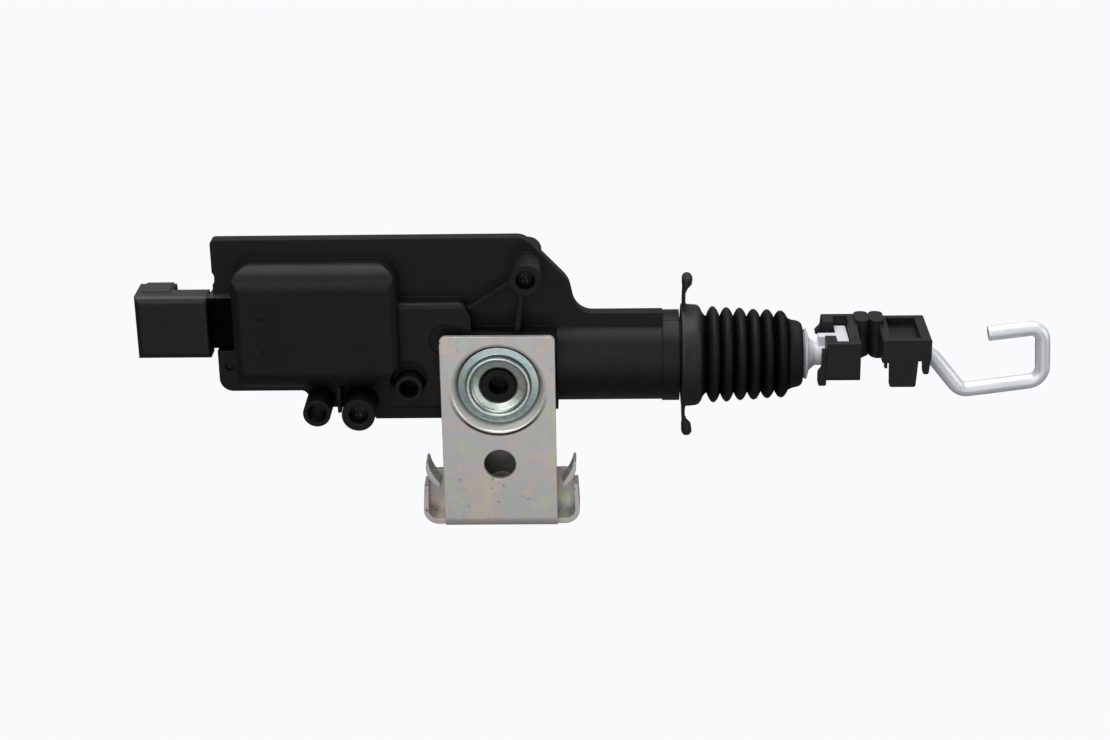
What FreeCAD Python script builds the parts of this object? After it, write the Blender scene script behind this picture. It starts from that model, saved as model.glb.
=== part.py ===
import FreeCAD, Part
import math
import os

os.makedirs("parts", exist_ok=True)

# Door latch actuator, millimetres.
# X runs along the output rod towards the hook, Y runs away from the bracket's front face, Z is up.
# The origin is the centre of the bracket's lower fixing hole, on the front face of the sheet.

# Bracket sheet
SHEET = 1.2
PLATE_WIDTH = 25.4
PLATE_TOP = 30.6
PLATE_BOTTOM = -15.9
PLATE_CORNER = 1.3
FIXING_HOLE_R = 3.6
EYELET_Z = 18.2
DISH_RIM_R = 10.2
DISH_FLOOR_R = 9.2
DISH_DEPTH = 3.1
DISH_HOLE_R = 4.8
PLATE_JOINT_Z = 5.4
LEG_GAP = 6.6
LEG_OVERHANG = 2.8
LEG_TOP = -4.6
TONGUE_WIDTH = 17.0
TONGUE_TOP = 2.4
PRESS_MARK_R = 3.4
PRESS_MARK_Z = -8.9
PRESS_MARK_DEPTH = 0.5
BEND_INNER_R = 1.4
EAR_TOP = -1.2
EAR_ROOT_Z = -6.3
EAR_OVERHANG = 1.4
EAR_DEPTH = 5.6
WING_OVERHANG = 5.2
WING_TOP = -6.4
WING_BEND_R = 3.4

# Steel eyelet that ties the bracket to the housing stem
EYELET_BORE_R = 3.85
EYELET_WALL = 0.85
EYELET_FLANGE_R = 8.9
EYELET_FLANGE_T = 0.7
EYELET_CREST_R = 6.9
EYELET_CREST_Y = 0.9
EYELET_MOUTH_Y = 2.4
STEM_CLEARANCE = 0.1
STEM_NOSE = 2.0
STEM_BORE_R = 2.2
STEM_BORE_DEPTH = 4.6

# Housing
WALL = 1.8
FLANGE_FRONT = 8.0
FLANGE_T = 1.5
FLANGE_LEFT = -63.0
FLANGE_TOP = 50.8
FLANGE_BOTTOM = 8.0
FLANGE_STEP = 15.0
LIP_TOP = 33.0
BULGE_FRONT = 0.0
BULGE_LEFT = -58.2
BULGE_LENGTH = 36.6
BULGE_HEIGHT = 28.8
BULGE_ROUND = 5.0
BULGE_SIDE_ROUND = 2.2
BULGE_CORNER = 4.6
GEAR_CASE_FRONT = 3.4
GEAR_CASE_RIGHT = -5.8
GEAR_CASE_TOP = 37.2
GEAR_CASE_BOTTOM = 11.6
SEAT_RIGHT = 13.2
SEAT_TOP = 30.0
RIB_T = 0.8

# Output rod and the tube that guides it
ROD_Y = 13.0
ROD_Z = 21.0
ROD_R = 5.0
TUBE_R = 9.95
TUBE_LEFT = 13.0
TUBE_RIGHT = 36.5
COLLAR_R = 10.25
COLLAR_RIGHT = 40.3
SPIGOT_R = 8.4
SPIGOT_RIGHT = 45.0
STROKE_OUT = 11.5
STROKE_IN = 7.5
RUNNING = 0.06
FREE = 0.3
STOP_GAP = 0.25
BUMPER_T = 2.0
SHOULDER_R = 6.0
SHOULDER_LEFT = 16.0
SHOULDER_T = 2.0
SHOULDER_BORE_R = 7.0
BUSH_R = 6.4
BUSH_LENGTH = 7.0

# Screw bosses, as X, Z, outer radius, hole radius, front Y and back Y
BOSS_LEFT = (-40.3, 13.1, 3.1, 2.15, -1.0, 15.0)
BOSS_SCREW_LOW = (-31.1, 12.6, 3.7, 2.15, -1.0, 16.0)
BOSS_MID = (-19.9, 17.7, 3.7, 2.15, 1.6, 8.4)
BOSS_SCREW_TOP = (6.6, 44.0, 3.5, 2.15, -1.0, 20.0)
BOSS_REAR_R = 3.0
POCKET_R = 4.0
POCKET_RISE = 2.0
SCREW_HEAD_R = 2.0
SCREW_HEAD_T = 1.6
SCREW_R = 1.25
SCREW_FIT = 0.05
SCREW_SINK = 1.6
SCREW_LENGTH = 13.0

# Motor with flat sides
MOTOR_R = 12.1
MOTOR_FLAT = 10.0
MOTOR_LENGTH = 29.1
MOTOR_END_GAP = 0.3
CAN_WALL = 0.9
BELL_T = 2.4
BELL_PLUG = 1.6
NOSE_R = 3.1
NOSE_LENGTH = 1.5
SHAFT_R = 1.0
MAGNET_T = 2.4
MAGNET_SPAN = 100.0
ROTOR_R = 8.0
ROTOR_LENGTH = 15.0
SLOT_W = 1.6
HUB_R = 3.2
COIL_T = 2.6
COMMUTATOR_R = 2.8
COMMUTATOR_L = 3.0
BRUSH_W = 2.0

# Gear train
PRESSURE_ANGLE = 25.0
BACKLASH_HALF = 0.12
MOTOR_MODULE = 0.6
MOTOR_TEETH = 10
CROWN_TEETH = 34
CROWN_FACE = 1.2
CROWN_RIM = 0.25
CROWN_BASE_T = 1.3
DRIVE_MODULE = 0.8
PINION_TEETH = 12
WHEEL_TEETH = 24
MESH_ANGLE = -22.5
CROWN_X = -11.3
AXLE_R = 1.25
AXLE_FIT = 0.05
HUB_WALL = 1.4
DISC_T = 1.8
PINION_FRONT = 9.9
PINION_FACE = 3.7
RACK_BACK = 4.4
LAYER_GAP = 0.4
WHEEL_FACE = 2.6

# Connector
SOCKET_LEFT = -80.2
SOCKET_RIGHT = -64.0
SOCKET_FRONT = 4.5
SOCKET_BOTTOM = 24.1
SOCKET_HEIGHT = 14.6
SOCKET_DEPTH = 10.6
SOCKET_WALL = 1.4
SOCKET_FLOOR = SOCKET_RIGHT - 9.6
NECK_DEPTH = 5.4
NECK_FRONT = 9.6
NECK_RIGHT = SOCKET_RIGHT + 4.8
RAMP_LEFT = -79.2
RAMP_RIGHT = -72.6
RAMP_RISE = 0.4
BLADE_T = 0.8
BLADE_W = 3.0
BLADE_SPACING = 6.2
BLADE_TIP = -77.8

# Boot
BOOT_RING_R = 11.5
BOOT_RING_LEFT = 40.6
BOOT_RING_RIGHT = 45.3
BOOT_WALL = 0.9
BOOT_PEAKS = 6
BOOT_PITCH = 3.15
BOOT_FIRST_PEAK = 48.0
BOOT_PEAK_R = 11.35
BOOT_PEAK_END_R = 10.3
BOOT_VALLEY_R = 8.4
BOOT_VALLEY_END_R = 7.9
CUFF_R = 7.6
CUFF_LEFT = 64.9
CUFF_RIGHT = 68.1
TAB_T = 0.8
TAB_W = 4.6
TAB_HEIGHT = 7.0
TAB_BULB_R = 1.25

# Outer end of the rod
DISC_X = 68.3
END_DISC_R = 5.7
END_DISC_T = 0.6
NECK_R = 2.6
HEAD_LEFT = 75.5
HEAD_LENGTH = 2.6
HEAD_WIDTH = 12.4
HEAD_BOTTOM = 17.0
HEAD_TOP = 25.5

# Rod clip
CLIP_FRONT = 5.2
CLIP_BACK = 21.0
CLIP_LEFT = 72.8
CLIP_WALL = 1.5
HEAD_BOX_RIGHT = 80.4
CLIP_BOTTOM = 18.2
FRONT_WALL_TOP = 26.4
BACK_WALL_TOP = 27.6
WEB_FRONT = 15.9
WEB_BOTTOM = 18.6
WEB_TOP = 27.2
BOX_LEFT = 85.2
BOX_RIGHT = 96.0
BOX_TOP = 27.0
BOX_BOTTOM = 22.0
WINDOW_LEFT = 87.2
WINDOW_RIGHT = 93.7
FLOOR_TOP = 25.0
FLOOR_BOTTOM = 22.6
TAIL_TOP = 24.2
LEG_BOTTOM = 15.9
LATCH_BOTTOM = 18.9

# Hook wire
WIRE_R = 1.7
WIRE_TAIL_X = 90.8
WIRE_RUN_Z = 20.9
HOOK_SWING_ROOM = 5.2

V = FreeCAD.Vector

# Values worked out from the ones above
PARTING = FLANGE_FRONT + FLANGE_T
FLANGE_BACK = PARTING + FLANGE_T
MOTOR_Y = BULGE_FRONT + WALL + FREE + MOTOR_FLAT
CASE_BACK = MOTOR_Y + MOTOR_FLAT + FREE + WALL
BULGE_RIGHT = BULGE_LEFT + BULGE_LENGTH
BULGE_BOTTOM = FLANGE_STEP + 2.6
BULGE_TOP = BULGE_BOTTOM + BULGE_HEIGHT
MOTOR_Z = (BULGE_BOTTOM + BULGE_TOP) / 2
MOTOR_LEFT = BULGE_LEFT + WALL + MOTOR_END_GAP
MOTOR_RIGHT = MOTOR_LEFT + MOTOR_LENGTH
SEAT_Y = DISH_DEPTH + SHEET
LEG_FRONT = SHEET + LEG_GAP
LEG_BACK = LEG_FRONT + SHEET
MOTOR_PITCH_R = MOTOR_MODULE * MOTOR_TEETH / 2
CROWN_PITCH_R = MOTOR_MODULE * CROWN_TEETH / 2
PINION_PITCH_R = DRIVE_MODULE * PINION_TEETH / 2
WHEEL_PITCH_R = DRIVE_MODULE * WHEEL_TEETH / 2
CROWN_Z = MOTOR_Z
WHEEL_X = CROWN_X + (PINION_PITCH_R + WHEEL_PITCH_R) * math.cos(math.radians(MESH_ANGLE))
WHEEL_Z = CROWN_Z + (PINION_PITCH_R + WHEEL_PITCH_R) * math.sin(math.radians(MESH_ANGLE))
RACK_PITCH_Z = WHEEL_Z - PINION_PITCH_R
MOTOR_ADDENDUM = 0.8 * MOTOR_MODULE
CROWN_TIP_Y = MOTOR_Y + MOTOR_PITCH_R - MOTOR_ADDENDUM
CROWN_ROOT_Y = MOTOR_Y + MOTOR_PITCH_R + 1.25 * MOTOR_MODULE
CROWN_INNER_R = CROWN_PITCH_R - CROWN_FACE / 2
CROWN_OUTER_R = CROWN_PITCH_R + CROWN_FACE / 2
CROWN_RIM_R = CROWN_OUTER_R + CROWN_RIM
DISC_FRONT = CROWN_ROOT_Y + CROWN_BASE_T
DISC_BACK = DISC_FRONT + DISC_T
WHEEL_FRONT = DISC_BACK + LAYER_GAP
WHEEL_BACK = WHEEL_FRONT + WHEEL_FACE
PINION_BACK = PINION_FRONT + PINION_FACE
INNER_BACK = CASE_BACK - WALL
RACK_REST_LEFT = WHEEL_X - STROKE_OUT - 3.0
RACK_REST_RIGHT = WHEEL_X + STROKE_IN + 3.0
RACK_FLOOR = RACK_PITCH_Z - 5.2
SOCKET_TOP = SOCKET_BOTTOM + SOCKET_HEIGHT
SOCKET_BACK = SOCKET_FRONT + SOCKET_DEPTH
HEAD_RIGHT = HEAD_LEFT + HEAD_LENGTH


# Basic solids
def box(x0, x1, y0, y1, z0, z1):
    return Part.makeBox(x1 - x0, y1 - y0, z1 - z0, V(x0, y0, z0))


def rod_x(y, z, r, x0, x1):
    return Part.makeCylinder(r, x1 - x0, V(x0, y, z), V(1, 0, 0))


def rod_y(x, z, r, y0, y1):
    return Part.makeCylinder(r, y1 - y0, V(x, y0, z), V(0, 1, 0))


def ring_x(y, z, r_in, r_out, x0, x1):
    return rod_x(y, z, r_out, x0, x1).cut(rod_x(y, z, r_in, x0 - 1, x1 + 1))


def closed_wire(corners, place):
    """A closed wire through (a, b, radius) corners, each corner a tangent arc."""
    count = len(corners)
    cuts = []
    for i in range(count):
        a, b, radius = corners[i]
        here = V(a, b, 0)
        before = V(corners[i - 1][0], corners[i - 1][1], 0) - here
        after = V(corners[(i + 1) % count][0], corners[(i + 1) % count][1], 0) - here
        if radius <= 0:
            cuts.append((here, here, here))
            continue
        before.normalize()
        after.normalize()
        half = before.getAngle(after) / 2
        run = radius / math.tan(half)
        middle = before + after
        middle.normalize()
        centre = here + middle * (radius / math.sin(half))
        cuts.append((here + before * run, centre - middle * radius, here + after * run))
    edges = []
    for i in range(count):
        start, mid, end = cuts[i]
        if (end - start).Length > 1e-6:
            edges.append(Part.Arc(place(start), place(mid), place(end)).toShape())
        following = cuts[(i + 1) % count][0]
        if (following - end).Length > 1e-6:
            edges.append(Part.makeLine(place(end), place(following)))
    return Part.Wire(edges)


def prism_x(corners, x0, x1):
    """Corners are (Y, Z, radius)."""
    wire = closed_wire(corners, lambda p: V(x0, p.x, p.y))
    return Part.Face(wire).extrude(V(x1 - x0, 0, 0))


def prism_y(corners, y0, y1):
    """Corners are (X, Z, radius)."""
    wire = closed_wire(corners, lambda p: V(p.x, y0, p.y))
    return Part.Face(wire).extrude(V(0, y1 - y0, 0))


def prism_z(corners, z0, z1):
    """Corners are (X, Y, radius)."""
    wire = closed_wire(corners, lambda p: V(p.x, p.y, z0))
    return Part.Face(wire).extrude(V(0, 0, z1 - z0))


def turned_x(corners, y, z):
    """A solid turned about a line along X, from (X, radius, corner radius)."""
    wire = closed_wire(corners, lambda p: V(p.x, y, z + p.y))
    return Part.Face(wire).revolve(V(0, y, z), V(1, 0, 0), 360)


def turned_y(corners, x, z):
    """A solid turned about a line along Y, from (Y, radius, corner radius)."""
    wire = closed_wire(corners, lambda p: V(x + p.y, p.x, z))
    return Part.Face(wire).revolve(V(x, 0, z), V(0, 1, 0), 360)


def soft_front_box(x0, x1, y0, y1, z0, z1, edge_r, side_r, corner_r):
    """A box whose front is at y0, with its front edges and its corners rounded."""
    from_side = prism_x([(y1, z0, 0), (y0, z0, edge_r), (y0, z1, edge_r), (y1, z1, 0)], x0, x1)
    from_top = prism_z([(x0, y1, 0), (x0, y0, side_r), (x1, y0, side_r), (x1, y1, 0)], z0, z1)
    from_front = prism_y([(x0, z0, corner_r), (x0, z1, corner_r), (x1, z1, corner_r), (x1, z0, corner_r)], y0, y1)
    return from_side.common(from_top).common(from_front)


def save(name, shape):
    shape = shape.removeSplitter() if shape.ShapeType != "Compound" or len(shape.Solids) == 1 else shape
    solids = shape.Solids
    whole = solids[0] if len(solids) == 1 else Part.makeCompound(solids)
    whole.exportStep("parts/" + name + ".step")
    print(name, "solids", len(solids), "volume", round(whole.Volume, 2), "valid", whole.isValid())


# Gear tooth profiles
def involute(angle):
    return math.tan(angle) - angle


def gear_corners(teeth, module, addendum, dedendum, phase):
    """Corners of an involute gear about the origin, with a tooth centred on phase degrees."""
    pressure = math.radians(PRESSURE_ANGLE)
    pitch_r = module * teeth / 2
    base_r = pitch_r * math.cos(pressure)
    tip_r = pitch_r + addendum
    root_r = pitch_r - dedendum
    half_at_pitch = (math.pi * module / 2 - BACKLASH_HALF) / (2 * pitch_r)
    start_r = max(base_r, root_r)
    flank = [start_r + (tip_r - start_r) * k / 4 for k in range(5)]
    profile = []
    if root_r < start_r:
        profile.append((root_r, half_at_pitch + involute(pressure)))
    for r in flank:
        profile.append((r, half_at_pitch + involute(pressure) - involute(math.acos(min(1.0, base_r / r)))))
    corners = []
    for k in range(teeth):
        middle = math.radians(phase) + 2 * math.pi * k / teeth
        for r, half in profile:
            corners.append((r * math.cos(middle - half), r * math.sin(middle - half), 0))
        for r, half in reversed(profile):
            corners.append((r * math.cos(middle + half), r * math.sin(middle + half), 0))
    return corners


def spur_gear_y(teeth, x, z, y0, y1, phase):
    """A gear on an axle along Y; phase is measured from +X towards +Z."""
    corners = gear_corners(teeth, DRIVE_MODULE, DRIVE_MODULE, 1.25 * DRIVE_MODULE, phase)
    return prism_y([(x + a, z + b, 0) for a, b, r in corners], y0, y1)


def spur_gear_x(teeth, y, z, x0, x1, phase):
    """A gear on a shaft along X; phase is measured from +Y towards +Z."""
    corners = gear_corners(teeth, MOTOR_MODULE, MOTOR_ADDENDUM, 1.25 * MOTOR_MODULE, phase)
    return prism_x([(y + a, z + b, 0) for a, b, r in corners], x0, x1)


# Housing outline, seen from the front
def flange_corners():
    low_x, low_z = BOSS_LEFT[0], BOSS_LEFT[1]
    return [
        (FLANGE_LEFT, FLANGE_TOP, 1.0),
        (BOSS_SCREW_TOP[0] - 0.4, FLANGE_TOP, 4.0),
        (BOSS_SCREW_TOP[0] + 9.2, 40.6, 6.0),
        (BOSS_SCREW_TOP[0] + 10.8, LIP_TOP, 4.5),
        (TUBE_RIGHT, LIP_TOP, 0),
        (TUBE_RIGHT, ROD_Z - 8.4, 0),
        (TUBE_LEFT, ROD_Z - 8.4, 0),
        (TUBE_LEFT - 3.0, FLANGE_BOTTOM, 1.0),
        (BOSS_SCREW_LOW[0] + 3.0, FLANGE_BOTTOM, 0),
        (BOSS_SCREW_LOW[0] + 1.0, low_z - 2.2, 0),
        (low_x - 1.0, low_z - 2.2, 0),
        (low_x - 3.6, FLANGE_STEP, 1.5),
        (FLANGE_LEFT, FLANGE_STEP, 3.0),
        (FLANGE_LEFT, 40.4, 0.4),
        (FLANGE_LEFT + 0.45, 41.2, 0.2),
        (FLANGE_LEFT + 0.45, 42.6, 0.2),
        (FLANGE_LEFT, 43.4, 0.4),
    ]


def front_boss(spec):
    x, z, outer, hole, front, back = spec
    return rod_y(x, z, outer, front, PARTING)


def rear_boss(spec, radius):
    x, z, outer, hole, front, back = spec
    return rod_y(x, z, radius, PARTING, back)


def wall_rib(x0, z0, x1, z1, thick, front, back):
    """A thin upright rib between two points of the front view."""
    along = V(x1 - x0, 0, z1 - z0)
    side = V(-along.z, 0, along.x)
    side.normalize()
    side = side * (thick / 2)
    ends = [V(x0, 0, z0) + side, V(x0, 0, z0) - side, V(x1, 0, z1) - side, V(x1, 0, z1) + side]
    return prism_y([(p.x, p.z, 0) for p in ends], front, back)


def tube_half(front):
    """The round tube, collar and spigot on one side of the parting plane."""
    solid = rod_x(ROD_Y, ROD_Z, TUBE_R, TUBE_LEFT, TUBE_RIGHT)
    solid = solid.fuse(rod_x(ROD_Y, ROD_Z, COLLAR_R, TUBE_RIGHT, COLLAR_RIGHT))
    solid = solid.fuse(rod_x(ROD_Y, ROD_Z, SPIGOT_R, COLLAR_RIGHT, SPIGOT_RIGHT))
    y0, y1 = (ROD_Y - 20, PARTING) if front else (PARTING, ROD_Y + 20)
    return solid.common(box(TUBE_LEFT, SPIGOT_RIGHT, y0, y1, ROD_Z - 20, ROD_Z + 20))


def rod_bores():
    """The bore for the rod, the wider bore for its shoulder and the seat of the guide bush."""
    stop_right = SHOULDER_LEFT + SHOULDER_T + STROKE_OUT + STOP_GAP + BUMPER_T
    shoulder = rod_x(ROD_Y, ROD_Z, SHOULDER_BORE_R, SHOULDER_LEFT - STROKE_IN - 2.0, stop_right)
    plain = rod_x(ROD_Y, ROD_Z, ROD_R + FREE, stop_right, SPIGOT_RIGHT + 1)
    bush = rod_x(ROD_Y, ROD_Z, BUSH_R, SPIGOT_RIGHT - FREE - BUSH_LENGTH, SPIGOT_RIGHT + 1)
    return shoulder.fuse(plain).fuse(bush)


def rack_channel():
    left = RACK_REST_LEFT - STROKE_IN - STOP_GAP - BUMPER_T
    return box(left, SHOULDER_LEFT, PINION_FRONT - 0.5, PINION_FRONT + RACK_BACK + 0.2, RACK_FLOOR - 0.2, RACK_PITCH_Z + 2.2)


def neck_slot():
    """Room for the connector's neck between the two covers."""
    return box(FLANGE_LEFT - 1, NECK_RIGHT + FREE, FLANGE_FRONT - 1, NECK_FRONT + NECK_DEPTH + 0.1,
               SOCKET_BOTTOM + 0.6, SOCKET_TOP - 1.8)


def front_cover():
    body = prism_y(flange_corners(), FLANGE_FRONT, PARTING)
    bulge = soft_front_box(BULGE_LEFT, BULGE_RIGHT, BULGE_FRONT, PARTING, BULGE_BOTTOM, BULGE_TOP,
                           BULGE_ROUND, BULGE_SIDE_ROUND, BULGE_CORNER)
    case = prism_y([(BOSS_MID[0] - 3.9, GEAR_CASE_BOTTOM, 1.0), (BOSS_MID[0] - 3.9, BULGE_BOTTOM + 1, 0),
                    (BULGE_RIGHT - 1, BULGE_BOTTOM + 1, 0), (BULGE_RIGHT - 1, GEAR_CASE_TOP, 0),
                    (GEAR_CASE_RIGHT - 1.6, GEAR_CASE_TOP, 2.0), (GEAR_CASE_RIGHT, GEAR_CASE_TOP - 3.4, 1.5),
                    (GEAR_CASE_RIGHT, GEAR_CASE_BOTTOM, 0)], GEAR_CASE_FRONT, PARTING)
    rounding = prism_x([(PARTING + 1, GEAR_CASE_BOTTOM, 0), (GEAR_CASE_FRONT, GEAR_CASE_BOTTOM, 1.6),
                        (GEAR_CASE_FRONT, GEAR_CASE_TOP, 1.3), (PARTING + 1, GEAR_CASE_TOP, 0)], -40, 0)
    case = case.common(rounding)
    seat = prism_y([(GEAR_CASE_RIGHT - 1, GEAR_CASE_BOTTOM, 0), (GEAR_CASE_RIGHT - 1, SEAT_TOP, 0),
                    (SEAT_RIGHT, SEAT_TOP, 2.0), (SEAT_RIGHT, GEAR_CASE_BOTTOM, 0)], SEAT_Y, PARTING)
    body = body.fuse(bulge).fuse(case).fuse(seat).fuse(tube_half(True))
    for spec in (BOSS_LEFT, BOSS_SCREW_LOW, BOSS_SCREW_TOP):
        body = body.fuse(front_boss(spec))
    body = body.fuse(wall_rib(GEAR_CASE_RIGHT - 0.6, GEAR_CASE_TOP - 1.6, BOSS_SCREW_TOP[0] - 3.0,
                              BOSS_SCREW_TOP[1] - 2.0, RIB_T, 4.4, PARTING))
    body = body.fuse(wall_rib(BOSS_SCREW_TOP[0] - 1.0, BOSS_SCREW_TOP[1] - 3.4, BOSS_SCREW_TOP[0] - 2.4,
                              SEAT_TOP - 1.0, RIB_T + 0.4, 3.4, PARTING))
    rib_x = (BOSS_LEFT[0] + BOSS_SCREW_LOW[0]) / 2
    body = body.fuse(box(rib_x - RIB_T / 2, rib_x + RIB_T / 2, 3.0, PARTING, BOSS_LEFT[1] - 1.5, BULGE_BOTTOM + 1))
    # pocket around the middle boss, which stands in it
    pocket = rod_y(BOSS_MID[0], BOSS_MID[1] + POCKET_RISE, POCKET_R, GEAR_CASE_FRONT - 4, GEAR_CASE_FRONT + 2.6)
    body = body.cut(pocket).fuse(rod_y(BOSS_MID[0], BOSS_MID[1], BOSS_MID[2] - 0.6, BOSS_MID[4], PARTING))
    body = body.cut(rod_y(BOSS_MID[0], BOSS_MID[1], BOSS_MID[3], BOSS_MID[4] - 1, BOSS_MID[5]))
    # shallow round sink beside the bracket
    body = body.cut(rod_y(CROWN_X + 0.2, CROWN_Z - 3.6, 3.9, GEAR_CASE_FRONT - 1, GEAR_CASE_FRONT + 0.5))
    # room for the dish, then the stem through the eyelet
    dish_room = DISH_RIM_R + SHEET + FREE
    body = body.cut(rod_y(0, EYELET_Z, dish_room, GEAR_CASE_FRONT - 2, SEAT_Y))
    body = body.fuse(rod_y(0, EYELET_Z, EYELET_BORE_R - STEM_CLEARANCE, STEM_NOSE, SEAT_Y + 1))
    eyelet_room = ring_y(0, EYELET_Z, EYELET_BORE_R - STEM_CLEARANCE, EYELET_BORE_R + EYELET_WALL + 0.05,
                         SEAT_Y - 1, SEAT_Y + 1.4)
    body = body.cut(eyelet_room)
    body = body.cut(rod_y(0, EYELET_Z, STEM_BORE_R, STEM_NOSE - 1, STEM_NOSE + STEM_BORE_DEPTH))
    # room for the motor and the gears
    motor_room = box(BULGE_LEFT + WALL, BULGE_RIGHT - WALL, BULGE_FRONT + WALL, PARTING + 1,
                     BULGE_BOTTOM + WALL, BULGE_TOP - WALL)
    soft = prism_x([(PARTING + 1, BULGE_BOTTOM + WALL, 0), (BULGE_FRONT + WALL, BULGE_BOTTOM + WALL, 2.4),
                    (BULGE_FRONT + WALL, BULGE_TOP - WALL, 2.4), (PARTING + 1, BULGE_TOP - WALL, 0)],
                   BULGE_LEFT, BULGE_RIGHT)
    body = body.cut(motor_room.common(soft))
    gear_room = box(BULGE_RIGHT - WALL - 0.1, GEAR_CASE_RIGHT - WALL, GEAR_CASE_FRONT + 2.4, PARTING + 1,
                    BOSS_MID[1] + BOSS_MID[2] + 1.6, GEAR_CASE_TOP - WALL)
    axle_boss = rod_y(CROWN_X, CROWN_Z, AXLE_R + HUB_WALL + 0.4, GEAR_CASE_FRONT + 1, PARTING - 0.1)
    body = body.cut(gear_room).fuse(axle_boss)
    body = body.cut(rod_bores().common(box(-90, 90, -20, PARTING, -20, 60)))
    body = body.cut(rack_channel().common(box(-90, 90, -20, PARTING, -20, 60)))
    body = body.cut(neck_slot())
    for x, z in ((CROWN_X, CROWN_Z), (WHEEL_X, WHEEL_Z)):
        body = body.cut(rod_y(x, z, AXLE_R + AXLE_FIT, PARTING - 3.4, PARTING + 1))
    # screw holes: a wide one for the head, a narrow one for the shank
    for spec in (BOSS_SCREW_LOW, BOSS_SCREW_TOP):
        x, z, outer, hole, front, back = spec
        body = body.cut(rod_y(x, z, hole, front - 1, front + SCREW_SINK + SCREW_HEAD_T))
        body = body.cut(rod_y(x, z, SCREW_R + SCREW_FIT, front, PARTING + 1))
    body = body.cut(rod_y(BOSS_LEFT[0], BOSS_LEFT[1], BOSS_LEFT[3], BOSS_LEFT[4] - 1, PARTING + 1))
    # hole for the locating peg of the rear housing
    body = body.cut(rod_y(PEG_X, PEG_Z, PEG_R + 0.1, FLANGE_FRONT - 1, PARTING + 1))
    # two small ejector dimples on the motor bulge
    for z in (MOTOR_Z + 2.9, MOTOR_Z - 4.6):
        body = body.cut(rod_y(BULGE_LEFT + 6.8, z, 0.45, BULGE_FRONT - 1, BULGE_FRONT + 0.5))
    save("front_cover", body)


def ring_y(x, z, r_in, r_out, y0, y1):
    return rod_y(x, z, r_out, y0, y1).cut(rod_y(x, z, r_in, y0 - 1, y1 + 1))


PEG_X = FLANGE_LEFT + 2.4
PEG_Z = FLANGE_STEP + 5.9
PEG_R = 0.9


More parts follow.
